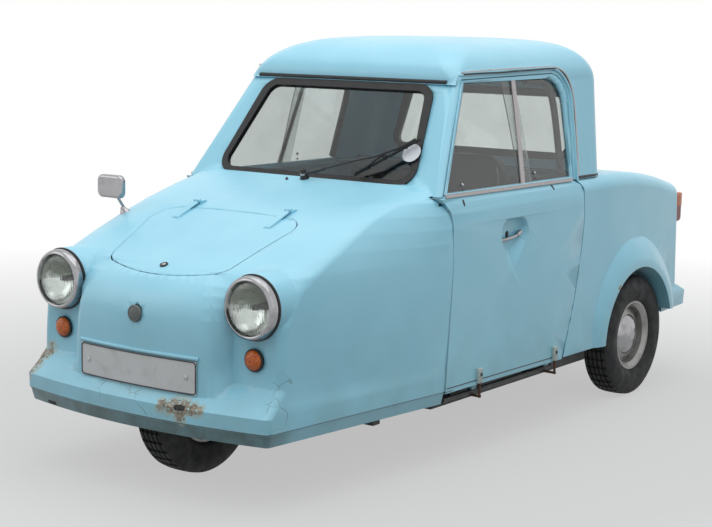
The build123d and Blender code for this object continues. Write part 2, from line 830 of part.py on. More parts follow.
def door_set():
    """The left door with its window frame and rail shoes, its two panes, and their channel and divider."""
    front, rear = door_ends
    sections = []
    for z, front_half, rear_half in door_contours:
        outline = Polyline((front_half - door_thickness, front), (front_half, front),
                           (rear_half, rear), (rear_half - door_thickness, rear), close=True)
        sections.append(Pos(0, 0, z) * make_face(outline))
    panel = loft(sections, ruled=True) & side_prism(door_face(), 0, far)
    window = side_prism(window_face(), 0, far)
    frame = side_sheet(0, frame_thickness)
    frame &= side_prism(opening_face(frame_margin), 0, far)
    frame -= slab((0, far), (-far, far), (0, waist_z - 6))
    frame -= window
    frame -= rear_form(-panel_gap) & slab((0, far), (door_rear_top_y - door_rear_corner, far), (0, far))
    door = panel + frame - handle_recess()
    for y in (hook_front_y, hook_rear_y):
        door += slab((door_rail_x - shoe_half, door_rail_x + shoe_half), (y - 14, y + 14),
                     (door_rail_z + rail_radius + close_gap, door_low_z + 1))
    door = largest(door)

    def pane(depth, y_low, y_high):
        sheet = side_sheet(depth, depth + pane_thickness)
        sheet &= slab((0, far), (y_low, y_high), (0, far))
        return sheet & window

    middle = (divider_low_y + divider_top_y) / 2
    panes = pane(front_pane_depth, -far, middle + 40) + pane(rear_pane_depth, middle - 40, far)
    half = divider_width / 2
    (low_y, low_z), (top_y, top_z) = (divider_low_y, window_front_low[1]), (divider_top_y, window_rear_top[1])
    bar_face = side_face([(low_y - half, low_z), (low_y + half, low_z),
                          (top_y + half, top_z), (top_y - half, top_z)])
    bar = side_sheet(1, front_pane_depth) & side_prism(bar_face, 0, far) & window
    rail_front, rail_end = channel_front_y, window_rear_low[0] - 10
    ends = ((cabin_low_half + 2, rail_front), (cabin_low_rear_half - 2, rail_end))
    section = Rectangle(channel_width, channel_height)
    middle_z = waist_z + channel_height / 2
    rail = loft([Plane.XZ.offset(-y) * Pos(x, middle_z) * section for x, y in ends], ruled=True)
    rail -= frame
    return door, panes, bar + rail


def tail_lamp_form(side, grow=0.0):
    """A tail lamp on the rear corner, a rounded upright block."""
    outer_x = tail_lamp_outer_x + grow
    low_x = outer_x - tail_lamp_width - 2 * grow
    half = tail_lamp_height / 2 + grow
    lamp = slab((low_x, outer_x), (tail_lamp_front_y - grow, tail_lamp_back_y + grow),
                (tail_lamp_z - half, tail_lamp_z + half))
    lamp = fillet(lamp.edges().filter_by(Axis.Y), tail_lamp_corner + grow)
    lamp = fillet(lamp.faces().sort_by(Axis.Y)[-1].edges(), tail_lamp_corner * 0.6)
    return lamp if side > 0 else mirrored(lamp)


def rear_panels():
    """The rear body shell with its flares and bumper ledge, and the engine lid."""
    outer = rear_form()
    inner = rear_form(shell)
    low_rear_y = arch_y + arch_radius - rear_bumper_lap
    skin = outer - inner
    skin -= slab((-far, far), (low_rear_y, far), (0, rear_bumper_low_z))
    ledge_front_y = arch_y + arch_radius - 6
    levels = []
    inner_levels = []
    for z, front_half, back_half, back_y in rear_bumper_contours:
        for inset, rows in ((0, levels), (shell, inner_levels)):
            points = [(front_half - inset, ledge_front_y), (back_half - inset, back_y - inset),
                      (inset - back_half, back_y - inset), (inset - front_half, ledge_front_y)]
            face = make_face(Polyline(*points, close=True))
            face = fillet([v for v in face.vertices() if v.Y > ledge_front_y + 1], rear_bumper_corner - inset)
            rows.append(Pos(0, 0, z) * face)
    ledge = loft(levels, ruled=True) - loft(inner_levels, ruled=True)
    ledge -= rear_form(shell)
    skin += ledge
    profile_plane = Plane(origin=(0, arch_y, arch_z), x_dir=(1, 0, 0), z_dir=(0, -1, 0))
    inner_x = flare_inner_x
    outer_r = arch_radius + flare_reach
    crest = (flare_outer_x - flare_crest_inset, arch_radius + flare_crest_rise)
    lip = Polyline((inner_x, outer_r), (inner_x, arch_radius), (flare_outer_x, arch_radius),
                   (flare_outer_x, arch_radius + flare_lip))
    swell = ThreePointArc((flare_outer_x, arch_radius + flare_lip), crest, (inner_x + flare_edge, outer_r))
    end = Line((inner_x + flare_edge, outer_r), (inner_x, outer_r))
    flare_face = profile_plane * make_face([lip, swell, end])
    flare = revolve(flare_face, axis=Axis((0, arch_y, arch_z), (1, 0, 0)))
    flare -= slab((-far, far), (-far, arch_y), (-far, side_low_z))
    flare -= slab((-far, far), (arch_y, far), (-far, rear_bumper_low_z + rear_bumper_lap))
    liner_x = rear_wheel_x - arch_liner_reach
    liner = ring((liner_x, arch_y, arch_z), (inner_x + 10, arch_y, arch_z), arch_radius + shell, arch_radius)
    liner += rod((liner_x, arch_y, arch_z), (liner_x + shell, arch_y, arch_z), arch_radius + shell)
    liner -= slab((-far, far), (-far, far), (-far, arch_z + arch_liner_foot))
    hole = rod((rear_wheel_x - arch_hole_reach, arch_y, arch_z), (far, arch_y, arch_z), arch_radius)
    skin = skin - hole - mirrored(hole)
    skin = skin + flare + mirrored(flare) + liner + mirrored(liner)
    low_cut = slab((-far, far), (-far, far), (-far, side_low_z))
    door_cut = side_prism(door_face(panel_gap), -far, far)
    door_cut += slab((-far, far), (0, door_rear_top_y - door_rear_corner + panel_gap), (waist_z - 1, far))
    skin = skin - low_cut - door_cut
    for side in (-1, 1):
        skin -= tail_lamp_form(side, close_gap)
    for x in (-plate_screw_x, plate_screw_x):
        start, end = (x, tail_y - 40, rear_plate_z), (x, tail_y + 40, rear_plate_z)
        skin -= rod(start, end, plate_screw_radius + close_gap)
    well_half = cabin_low_half - well_side_margin
    skin -= slab((-well_half, well_half), (0, cabin_low_rear_y - well_rear_margin),
                 (deck_front_z - well_depth, far))
    gap = panel_gap
    lid_faces = []
    for inset in (0, gap):
        x, y0, y1 = engine_lid_half - inset, engine_lid_front_y + inset, engine_lid_back_y - inset
        face = make_face(Polyline((-x, y0), (x, y0), (x, y1), (-x, y1), close=True))
        lid_faces.append(Pos(0, 0, deck_rear_z - 100) * fillet(face.vertices(), engine_lid_corner - inset))
    lid = skin & extrude(lid_faces[1], amount=400)
    skin -= extrude(lid_faces[0], amount=400)
    return largest(skin), largest(lid)


def wheel(centre, outward, shaft_end):
    """A pressed steel wheel on its hub and stub shaft, and its tyre. outward is +1 or -1 across the car."""
    x, y, z = centre
    half = rim_width / 2
    well, well_r = half - rim_well_inset, bead_radius - rim_thickness
    lip, seat, flange_r = half - rim_lip_width, half - rim_seat_inset, rim_radius - rim_flange_height
    profile = Polyline((-half, rim_radius), (-half, flange_r), (-well, well_r), (well, well_r),
                       (half, flange_r), (half, rim_radius), (lip, rim_radius), (seat, bead_radius),
                       (-seat, bead_radius), (-lip, rim_radius), close=True)
    axle = Axis((0, 0, 0), (1, 0, 0))
    rim = revolve(make_face(profile), axis=axle)
    disc_back_x, disc_edge = disc_face_x - rim_thickness, bead_radius - disc_lap
    disc = Polyline((disc_face_x, 0), (disc_face_x, hub_cap_radius + rim_thickness), (disc_root_x, disc_edge),
                    (disc_root_x - rim_thickness, disc_edge), (disc_back_x, hub_cap_radius + disc_lap),
                    (disc_back_x, hub_radius + hub_flare), (hub_inner_x, hub_radius), (hub_inner_x, 0),
                    close=True)
    rim += revolve(make_face(disc), axis=axle)
    dome_radius = (hub_cap_radius ** 2 + hub_cap_height ** 2) / (2 * hub_cap_height)
    dome_centre = hub_cap_foot + hub_cap_height - dome_radius
    share = math.asin(hub_cap_radius / dome_radius) / 2
    middle = (dome_centre + dome_radius * math.cos(share), dome_radius * math.sin(share))
    cap_top, cap_edge = (hub_cap_foot + hub_cap_height, 0), (hub_cap_foot, hub_cap_radius)
    cap = make_face([Polyline(cap_top, (hub_cap_foot, 0), cap_edge),
                     ThreePointArc(cap_edge, middle, cap_top)])
    cap = revolve(cap, axis=axle)
    wall = tyre_width / 2
    bead, bead_r = half - tyre_bead_inset, bead_radius + tyre_bead_gap
    foot, foot_r = half - tyre_foot_inset, rim_radius + tyre_foot_rise
    shoulder, shoulder_r = wall - tyre_shoulder_inset, tyre_radius - tyre_shoulder_drop
    swell_r = (rim_radius + tyre_radius) / 2 - tyre_swell_drop
    tyre = make_face([
        Polyline((-bead, bead_r), (bead, bead_r), (foot, foot_r)),
        ThreePointArc((foot, foot_r), (wall, swell_r), (shoulder, shoulder_r)),
        ThreePointArc((shoulder, shoulder_r), (0, tyre_radius), (-shoulder, shoulder_r)),
        ThreePointArc((-shoulder, shoulder_r), (-wall, swell_r), (-foot, foot_r)),
        Line((-foot, foot_r), (-bead, bead_r)),
    ])
    tyre = largest(revolve(tyre, axis=axle) - rim)
    if shaft_end < hub_inner_x:
        rim += rod((hub_inner_x, 0, 0), (shaft_end, 0, 0), stub_axle_radius)
    pieces = [rim, cap, tyre]
    if outward < 0:
        pieces = [mirrored(piece) for piece in pieces]
    return [Pos(x, y, z) * piece for piece in pieces]


def steer_point(along, across=0.0):
    """A point on the steering axis, a distance up from the foot of the head tube."""
    tilt = math.radians(steer_tilt_deg)
    return (across, head_y + along * math.sin(tilt), head_z + along * math.cos(tilt))


def front_fork():
    """The stem, crown, leg and stub axle that carry the front wheel."""
    crown_z = tyre_radius * 2 + crown_rise
    crown_front, crown_back = head_y - crown_front_reach, head_y + crown_back_reach
    low_z, high_z = crown_z - crown_half, crown_z + crown_half
    leg_half = fork_leg_thickness / 2
    stem = rod(steer_point(-stem_foot_reach), steer_point(head_tube_length + stem_top_reach), stem_radius)
    crown = slab((fork_leg_x - leg_half, crown_right_x), (crown_front, crown_back), (low_z, high_z))
    leg = side_face([(crown_front, high_z), (crown_back, high_z),
                     (front_axle_y + fork_foot_half, axle_z - fork_foot_drop),
                     (front_axle_y - fork_foot_half, axle_z - fork_foot_drop)])
    leg = side_prism(leg, fork_leg_x - leg_half, fork_leg_x + leg_half)
    axle = rod((fork_leg_x, front_axle_y, axle_z), (front_axle_end_x, front_axle_y, axle_z), stub_axle_radius)
    nut_end = (fork_leg_x - axle_nut_length, front_axle_y, axle_z)
    nut = rod(nut_end, (fork_leg_x, front_axle_y, axle_z), axle_nut_radius)
    return largest(stem + crown + leg + axle + nut)


def chassis():
    """The tube frame, with the steering head, the outriggers and the rear bridge."""
    half = tube_size / 2
    low, high = floor_z - tube_size, floor_z
    bridge_top_z = damper_top_z + bridge_height
    pieces = []
    for x in (-rail_x, rail_x):
        pieces.append(slab((x - half, x + half), (cross_members_y[0] - half, rail_rear_y), (low, high)))
    for y in cross_members_y:
        reach = sill_x if y < floor_rear_y else rail_x + half
        pieces.append(slab((-reach, reach), (y - half, y + half), (low, high)))
    for x in (-sill_x, sill_x):
        pieces.append(slab((x - half, x + half), (door_front_y, floor_rear_y), (low, high)))
    for side in (-1, 1):
        x = side * door_rail_x
        start, end = (x, door_rail_front_y, door_rail_z), (x, door_rail_rear_y, door_rail_z)
        pieces.append(rod(start, end, rail_radius))
        x0, x1 = sorted((side * (sill_x + half - 1), side * door_rail_x))
        for y in (rail_bracket_front_y, rail_bracket_rear_y):
            pieces.append(slab((x0, x1), (y - rail_bracket_half, y + rail_bracket_half),
                               (door_rail_z - rail_bracket_drop, door_rail_z + rail_bracket_rise)))
    upright_y = cross_members_y[0]
    beam_z = head_z + head_beam_rise
    for x in (-upright_x, upright_x):
        pieces.append(slab((x - half, x + half), (upright_y - half, upright_y + half), (low, beam_z + half)))
    pieces.append(slab((-upright_x - half, upright_x + half), (upright_y - half, upright_y + half),
                       (beam_z - half, beam_z + half)))
    pieces.append(slab((-head_beam_half, head_beam_half), (head_y + head_beam_lap, upright_y),
                       (beam_z - half, beam_z + half)))
    pieces.append(rod(steer_point(0), steer_point(head_tube_length), head_tube_radius))
    for side in (-1, 1):
        x = side * arm_x
        pieces.append(slab((x - half, x + half), (damper_low_y - half, damper_low_y + half),
                           (damper_top_z, bridge_top_z)))
        pieces.append(slab((x - half, x + half), (arm_pivot_y - half, arm_pivot_y + half),
                           (low, arm_pivot_z + half)))
    pieces.append(slab((-arm_x - half, arm_x + half), (damper_low_y - half, damper_low_y + half),
                       (damper_top_z, bridge_top_z)))
    for x in (-rail_x, rail_x):
        pieces.append(slab((x - half, x + half), (damper_low_y - half, damper_low_y + half),
                           (low, bridge_top_z)))
    for side in (-1, 1):
        x0, x1 = sorted((side * rail_x, side * (arm_x + half)))
        pieces.append(slab((x0, x1), (arm_pivot_y - half, arm_pivot_y + half), (low, high)))
    frame = pieces[0]
    for piece in pieces[1:]:
        frame += piece
    bore_end = head_tube_length + head_bore_reach
    frame -= rod(steer_point(-head_bore_reach), steer_point(bore_end), stem_radius + bearing_gap)
    return largest(frame)


def suspension():
    """Rear trailing arms with their hub housings, and the spring and damper units above them."""
    half = arm_width / 2
    housing_start = (arm_x - half, rear_axle_y, axle_z)
    housing_end = (arm_x + half + arm_hub_reach, rear_axle_y, axle_z)
    front_y = arm_pivot_y + arm_front_rise
    beam = side_face([(front_y, arm_pivot_z - arm_front_drop), (front_y, arm_pivot_z + arm_front_rise),
                      (rear_axle_y, axle_z + arm_rear_half), (rear_axle_y, axle_z - arm_rear_half)])
    arm = side_prism(beam, arm_x - half, arm_x + half)
    arm += rod(housing_start, housing_end, arm_hub_radius)
    arm -= rod((0, rear_axle_y, axle_z), (car_width, rear_axle_y, axle_z), stub_axle_radius + bearing_gap)
    pad_z = arm_pivot_z + damper_pad_rise
    arm += slab((arm_x - half, arm_x + half),
                (damper_low_y - damper_pad_half, damper_low_y + damper_pad_half), (axle_z, pad_z))
    arm -= slab((0, far), (-far, arm_pivot_y + tube_size / 2), (-far, far))
    coil_z = pad_z + coil_foot_rise
    coil_foot, coil_top = (arm_x, damper_low_y, coil_z), (arm_x, damper_low_y, damper_top_z - coil_top_gap)
    seat_foot = (arm_x, damper_low_y, coil_z - coil_seat_thickness)
    unit = rod((arm_x, damper_low_y, pad_z), (arm_x, damper_low_y, damper_top_z), damper_rod_radius)
    unit += rod(coil_foot, coil_top, damper_radius)
    unit += rod(seat_foot, coil_foot, damper_radius + coil_seat_lap)
    return arm + mirrored(arm), unit + mirrored(unit)


def power_unit():
    """The engine and gearbox as one plain block, and the silencer with its tail pipe."""
    block = slab((-engine_half, engine_half), (engine_front_y, engine_rear_y), (floor_z, engine_top_z))
    block += slab((-gearbox_half, gearbox_half), (gearbox_front_y, engine_front_y),
                  (gearbox_low_z, gearbox_top_z))
    start, end = (-silencer_half, silencer_y, silencer_z), (silencer_half, silencer_y, silencer_z)
    can = rod(start, end, silencer_radius)
    pipe_x, pipe_z = silencer_half - tail_pipe_inset, silencer_z - tail_pipe_inset
    pipe_start, pipe_end = (pipe_x, silencer_y + tail_pipe_inset, pipe_z), (pipe_x, tail_pipe_end_y, pipe_z)
    can += rod(pipe_start, pipe_end, tail_pipe_radius)
    for x in (-silencer_strap_x, silencer_strap_x):
        can += slab((x - silencer_strap_half, x + silencer_strap_half),
                    (engine_rear_y, silencer_y - silencer_radius + silencer_strap_lap),
                    (silencer_z - silencer_strap_rise, silencer_z + silencer_strap_rise))
    return block, can


def front_clear():
    """The hollow of the front body, just clear of its shell."""
    return front_form(shell + close_gap)


def floor_and_walls():
    """The floor, the front bulkhead with the tray over the front wheel, and the rear bulkhead and shelf."""
    half = door_front_half - door_thickness - floor_side_gap
    floor = slab((-half, half), (toe_board_y, floor_rear_y), (floor_z, floor_z + floor_thickness))
    wall = floor_thickness
    low = floor_z + floor_thickness
    toe = slab((-far, far), (toe_board_y, toe_board_y + wall), (low, far))
    tray = slab((-far, far), (tray_front_y, toe_board_y + 1), (tray_z, tray_z + wall))
    front = front_clear()
    toe_in = front & toe
    panel = toe_in + (front & tray)
    panel += slab((-half, half), (toe_board_y, toe_board_y + wall), (low, side_low_z + 10))
    start, end = steer_point(-head_hole_reach), steer_point(2 * head_hole_reach)
    head = rod(start, end, head_tube_radius + wall_hole_gap)
    upright_y, upright_half = cross_members_y[0], tube_size / 2 + upright_hole_gap
    uprights = slab((-upright_x - upright_half, upright_x + upright_half),
                    (upright_y - upright_half, upright_y + upright_half),
                    (tray_z - 1, tray_z + wall + 1))
    panel = panel - head - uprights + column_tube()
    rear_half = rear_low_front_half - shell - 10
    back = slab((-rear_half, rear_half), (floor_rear_y, floor_rear_y + wall), (low, shelf_z))
    shelf = slab((-rear_half + 30, rear_half - 30), (floor_rear_y, cabin_low_rear_y - 34),
                 (shelf_z, shelf_z + wall))
    inside = rear_form(shell + close_gap)
    for side in (-1, 1):
        inside -= rod((side * (flare_inner_x - close_gap), arch_y, arch_z), (side * far, arch_y, arch_z),
                      arch_radius + flare_reach + close_gap)
    back = (back & inside) + slab((-half, half), (floor_rear_y, floor_rear_y + wall), (low, side_low_z + 10))
    return floor, largest(panel), largest(back + (shelf & inside))


def seat():
    """The seat's frame on its cross runners, its cushion and its backrest."""
    x0, x1 = seat_x - seat_width / 2, seat_x + seat_width / 2
    floor_top = floor_z + floor_thickness
    pan_low = seat_base_z - seat_pan_thickness
    runner_top = floor_top + seat_runner_height
    frame = slab((x0 + seat_pan_inset, x1 - seat_pan_inset), (seat_front_y + seat_pan_inset, seat_back_y),
                 (pan_low, seat_base_z))
    for y in (seat_front_y + seat_runner_inset, seat_back_y - seat_runner_inset):
        frame += slab((x0 - seat_runner_reach, x1 + seat_runner_reach),
                      (y - seat_runner_half, y + seat_runner_half), (floor_top, runner_top))
        for x in (x0 + seat_leg_inset, x1 - seat_leg_inset):
            frame += slab((x - seat_leg_half, x + seat_leg_half), (y - seat_leg_half, y + seat_leg_half),
                          (runner_top, pan_low))
    lean = math.radians(backrest_lean_deg)
    hinge_y = seat_back_y
    stay_top_y = hinge_y + backrest_height * math.sin(lean) - stay_top_set_back
    stay_top_z = seat_base_z + backrest_height * math.cos(lean) - stay_top_drop
    for x in (x0 + stay_inset, x1 - stay_inset):
        stay = side_face([(hinge_y - stay_foot_width, pan_low), (hinge_y + 2, pan_low),
                          (stay_top_y, stay_top_z), (stay_top_y - stay_top_width, stay_top_z)])
        frame += side_prism(stay, x - stay_thickness / 2, x + stay_thickness / 2)
    cushion = slab((x0, x1), (seat_front_y, seat_back_y - backrest_thickness * 0.6),
                   (seat_base_z + close_gap, seat_base_z + cushion_thickness))
    cushion = fillet(cushion.edges().filter_by(Axis.Z), cushion_corner)
    cushion = fillet(cushion.edges().sort_by(Axis.Z)[-8:], cushion_edge)
    half = backrest_thickness / 2
    back = slab((x0, x1), (-half, half), (0, backrest_height))
    back = fillet([e for e in back.edges().filter_by(Axis.Y) if e.center().Z > 1], backrest_corner)
    back = fillet([e for e in back.edges() if abs(e.center().Y) > half - 1], backrest_edge)
    base = (0, hinge_y - half + seat_gap, seat_base_z + cushion_thickness * 0.75)
    back = Pos(*base) * Rot(-backrest_lean_deg, 0, 0) * back
    back -= cushion
    frame -= back
    return largest(frame), largest(cushion), largest(back)


def lamps():
    """Headlamp bowls and lenses, front indicators, tail lamps and the round nose cap."""
    bowls, lenses, ambers, tails = [], [], [], []
    bowl_back_y = nacelle_front_y + headlamp_bowl_depth
    lens_y = headlamp_rim_y + headlamp_lens_set_back
    for side in (-1, 1):
        x = side * headlamp_x
        bowl = rod((x, headlamp_rim_y, headlamp_z), (x, nacelle_front_y, headlamp_z), headlamp_rim_radius)
        bowl += rod((x, headlamp_rim_y + 10, headlamp_z), (x, bowl_back_y, headlamp_z),
                    headlamp_rim_radius - headlamp_bowl_step - close_gap)
        start, end = (x, headlamp_rim_y - 10, headlamp_z), (x, headlamp_rim_y + 60, headlamp_z)
        bowl -= rod(start, end, headlamp_lens_radius)
        bowls.append(bowl)
        lens_foot = (x, lens_y, headlamp_z)
        lens = rod(lens_foot, (x, lens_y + headlamp_lens_edge, headlamp_z), headlamp_lens_radius - 0.1)
        lens += lens_dome(lens_foot, headlamp_lens_radius - 0.1, headlamp_lens_bulge)
        lenses.append(lens)
        dome_foot = (x, indicator_front_y + 22, indicator_z)
        dome = rod(dome_foot, (x, indicator_back_y, indicator_z), indicator_radius)
        dome += lens_dome(dome_foot, indicator_radius - indicator_dome_inset, indicator_dome_height)
        ambers.append(dome)
        tails.append(tail_lamp_form(side))
    cap_foot = (0, nose_face_y - nose_cap_proud, nose_cap_z)
    cap = rod(cap_foot, (0, nose_face_y + 20, nose_cap_z), nose_cap_radius)
    cap += lens_dome(cap_foot, nose_cap_radius, nose_cap_dome)
    return bowls, lenses, ambers, tails, cap


def lens_dome(foot, radius, height):
    """A shallow round dome facing the nose, standing on its foot."""
    sphere_radius = (radius * radius + height * height) / (2 * height)
    ball = Pos(foot[0], foot[1] - height + sphere_radius, foot[2]) * Sphere(sphere_radius)
    return ball & rod((foot[0], foot[1] - height - 1, foot[2]), foot, radius)


def plates():
    """The two blank number plates with their screws. The front one is bent to the nose."""
    half = plate_width / 2
    front_y = nose_face_y - plate_proud
    edge_y = front_y + plate_bend
    back = plate_thickness
    face = make_face([
        ThreePointArc((-half, edge_y), (0, front_y), (half, edge_y)),
        Line((half, edge_y), (half, edge_y + back)),
        ThreePointArc((half, edge_y + back), (0, front_y + back), (-half, edge_y + back)),
        Line((-half, edge_y + back), (-half, edge_y)),
    ])
    front = extrude(Pos(0, 0, plate_z - plate_height / 2) * face, amount=plate_height)
    rear = slab((-half, half), (tail_y + plate_proud - back, tail_y + plate_proud),
                (rear_plate_z - plate_height / 2, rear_plate_z + plate_height / 2))
    screw_front_y = front_y + plate_bend * (plate_screw_x / half) ** 2
    for x in (-plate_screw_x, plate_screw_x):
        front += rod((x, screw_front_y, plate_z), (x, nose_face_y + 60, plate_z), plate_screw_radius)
        screw_tip = (x, tail_y + plate_proud + plate_screw_proud, rear_plate_z)
        rear += rod((x, tail_y + plate_proud - back / 2, rear_plate_z), screw_tip, plate_screw_radius)
        rear += rod((x, tail_y - plate_thread_depth, rear_plate_z), screw_tip, plate_thread_radius)
    return [front, rear]


def mirror_set(body):
    """The wing mirror on the right wing: foot, stem and head. It stands on the body's surface."""
    x, y, z = mirror_foot
    foot = largest(rod((x, y, z - 20), (x, y, z + mirror_foot_height), mirror_foot_radius) - body)
    head = slab((-mirror_half_width, mirror_half_width), (-mirror_half_depth, mirror_half_depth),
                (-mirror_half_height, mirror_half_height))
    head = fillet(head.edges().filter_by(Axis.Y), mirror_corner)
    head = fillet(head.faces().sort_by(Axis.Y)[0].edges(), mirror_back_edge)
    stem = rod((x, y, z + mirror_foot_height - 2), mirror_head, mirror_stem_radius)
    return foot + stem + Pos(*mirror_head) * head


def wiper_set(body):
    """The single wiper lying across the foot of the screen, and its pivot on the scuttle."""
    x, y, z = wiper_pivot
    post = largest(rod((x, y, z - 30), (x, y, z + 8), wiper_post_radius) - body)
    arm = rod(wiper_pivot, wiper_elbow, wiper_arm_radius)
    return post + arm + rod(wiper_elbow, wiper_tip, wiper_arm_radius)


def arc_height(y, low, middle, high):
    """Height at y of the round arc through three (y, z) points."""
    (y0, z0), (y1, z1), (y2, z2) = low, middle, high
    turn = 2 * ((y1 - y0) * (z2 - z0) - (y2 - y0) * (z1 - z0))
    first = (y1 - y0) ** 2 + (z1 - z0) ** 2
    second = (y2 - y0) ** 2 + (z2 - z0) ** 2
    centre_y = y0 + (first * (z2 - z0) - second * (z1 - z0)) / turn
    centre_z = z0 + (second * (y1 - y0) - first * (y2 - y0)) / turn
    radius = math.hypot(y0 - centre_y, z0 - centre_z)
    return centre_z + math.sqrt(radius ** 2 - (y - centre_y) ** 2)


def deck_height(y):
    """Height of the rear deck's curve at y."""
    return arc_height(y, (deck_curve_start_y, deck_front_z), (deck_mid_y, deck_mid_z), (tail_y, deck_rear_z))


def bonnet_height(y):
    """Height of the bonnet's middle line at y, from the contour table."""
    for low, high in zip(wing_contours[5:], wing_contours[6:]):
        if low[1] <= y <= high[1]:
            return between(low[0], high[0], (y - low[1]) / (high[1] - low[1]))
    return wing_contours[-1][0]


def strap_hinge(x, axis_y, axis_z, toward, tip_y, edge_y, height, body):
    """One strap hinge of a lid: the fixed leaf with its pin, and the moving strap.

    toward is the lid's side of the pin along y, edge_y is the lid's edge, and height gives the surface at y.
    """
    half = strap_width / 2
    axis_start, axis_end = (x - half, axis_y, axis_z), (x + half, axis_y, axis_z)
    leaf_end = axis_y - toward * hinge_leaf_length
    leaf_top = height(leaf_end) + strap_thickness
    leaf = side_face([(axis_y, axis_z - 20), (axis_y, axis_z - 1), (leaf_end, leaf_top),
                      (leaf_end, leaf_top - strap_thickness - 10)])
    fixed = side_prism(leaf, x - half, x + half) - body
    fixed = largest(fixed)
    fixed += rod(axis_start, axis_end, knuckle_radius)
    gap_half = knuckle_half + 0.5
    fixed -= rod((x - gap_half, axis_y, axis_z), (x + gap_half, axis_y, axis_z), knuckle_radius + 1.5)
    fixed += rod(axis_start, axis_end, hinge_pin_radius)
    near_y = axis_y + toward * (knuckle_radius + 4)
    top = [(axis_y, axis_z + 2), (tip_y, height(tip_y) + strap_thickness)]

    def top_line(y):
        return between(top[0][1], top[1][1], (y - top[0][0]) / (top[1][0] - top[0][0]))

    land_y = edge_y + toward * strap_land
    strap = side_face([(near_y, top_line(near_y)), (tip_y, top_line(tip_y)), (tip_y, height(tip_y) - 3),
                       (land_y, height(land_y) - 3), (land_y, top_line(land_y) - strap_thickness),
                       (near_y, top_line(near_y) - strap_thickness)])
    neck = side_face([top[0], (near_y + toward, top_line(near_y + toward)),
                      (near_y + toward, top_line(near_y + toward) - strap_thickness), (axis_y, axis_z - 2)])
    moving = side_prism(strap, x - half, x + half) + side_prism(neck, x - knuckle_half, x + knuckle_half)
    moving += rod((x - knuckle_half, axis_y, axis_z), (x + knuckle_half, axis_y, axis_z), knuckle_radius)
    moving -= rod(axis_start, axis_end, hinge_pin_radius + bearing_gap)
    return largest(fixed), largest(moving)


def column_point(along, across=0.0):
    """A point along the tiller's column, up from its foot at the toe board."""
    x, y, z = column_foot
    return (x + across, y + along * column_lean[1], z + along * column_lean[2])


def column_tube():
    """The fixed tube round the tiller's column, cut off square at the toe board."""
    tube = rod(column_point(-40), column_point(column_tube_length), column_tube_radius)
    tube -= rod(column_point(-60), column_point(column_tube_length + 20), column_radius + bearing_gap)
    return tube - slab((-far, far), (-far, toe_board_y + floor_thickness), (0, far))


def tiller():
    """The tiller: its column, the cross bar and two grips."""
    bar = rod(column_point(column_free_start), column_point(bar_along + 14), column_radius)
    bar += rod(column_point(bar_along - boss_half), column_point(bar_along + boss_half), boss_radius)
    bar += rod(column_point(bar_along, -bar_half), column_point(bar_along, bar_half), column_radius - 1)
    for side in (-1, 1):
        inner = side * (bar_half - grip_length)
        bar += rod(column_point(bar_along, inner), column_point(bar_along, side * bar_half), grip_radius)
    return bar


def dashboard():
    """The shelf under the windscreen with one blank round dial."""
    board = slab((-far, far), (dash_front_y, dash_back_y), (dash_low_z, dash_top_z)) & front_clear()
    dial_z = dash_top_z - 10
    board += rod((seat_x, dash_back_y - 40, dial_z), (seat_x, dash_back_y + 8, dial_z), dial_radius)
    return largest(board)


def door_surface(y, z):
    """How far out the left door's outer face lies at a place."""
    start, end = door_ends
    for low, high in zip(door_contours, door_contours[1:]):
        if z <= high[0]:
            share = (z - low[0]) / (high[0] - low[0])
            front, rear = between(low[1], high[1], share), between(low[2], high[2], share)
            return between(front, rear, (y - start) / (end - start))
    return door_contours[-1][1]


def handle_recess():
    """The cutter for the drop-shaped recess behind the door handle."""
    surface = door_surface(handle_y, handle_z)
    outlines = []
    for rows, x in ((recess_rim, surface + 12), (recess_floor, surface - recess_depth)):
        face = side_face([(y, z) for y, z, corner in rows])
        for y, z, corner in rows:
            vertex = min(face.vertices(), key=lambda v: abs(v.Y - y) + abs(v.Z - z))
            face = fillet(vertex, corner)
        outlines.append(Pos(x, 0, 0) * face)
    return loft(outlines, ruled=True)


def door_fittings(door):
    """The left door's handle, and its U hooks round the rail under the door."""
    surface = door_surface(handle_y, handle_z)
    lever_x = surface + lever_radius
    boss_foot = (surface - recess_depth - lever_radius, handle_y, handle_z)
    handle = largest(rod(boss_foot, (lever_x, handle_y, handle_z), handle_boss_radius) - door)
    lever_front = (lever_x, handle_y - lever_front_reach, handle_z - lever_drop)
    lever_rear = (lever_x, handle_y + lever_rear_reach, handle_z + lever_rise)
    handle += rod(lever_front, lever_rear, lever_radius)
    hooks = []
    low_z = door_rail_z - rail_radius - hook_radius - close_gap
    inner_x = door_rail_x - rail_radius - hook_radius - close_gap
    for y in (hook_front_y, hook_rear_y):
        outer_x = door_surface(y, hook_bolt_z) + hook_radius + 1
        bolt = rod((outer_x - 12, y, hook_bolt_z), (outer_x + 4, y, hook_bolt_z), hook_bolt_radius)
        hook = bolt + rod((outer_x, y, hook_bolt_z), (outer_x, y, low_z - hook_radius), hook_radius)
        hook += rod((outer_x + hook_radius, y, low_z), (inner_x - hook_radius, y, low_z), hook_radius)
        hook += rod((inner_x, y, low_z - hook_radius), (inner_x, y, door_rail_z + 4), hook_radius)
        hooks.append(largest(hook - door))
    return handle, hooks


def bundle(*solids):
    """Several separate solids of one node."""
    pieces = []
    for solid in solids:
        pieces += solid if isinstance(solid, list) else [solid]
    return Compound(children=[piece for group in pieces for piece in group.solids()])


def both_sides(*solids):
    """The given left solids and their mirror images, as one node."""
    return bundle(*solids, *[mirrored(solid) for solid in solids])


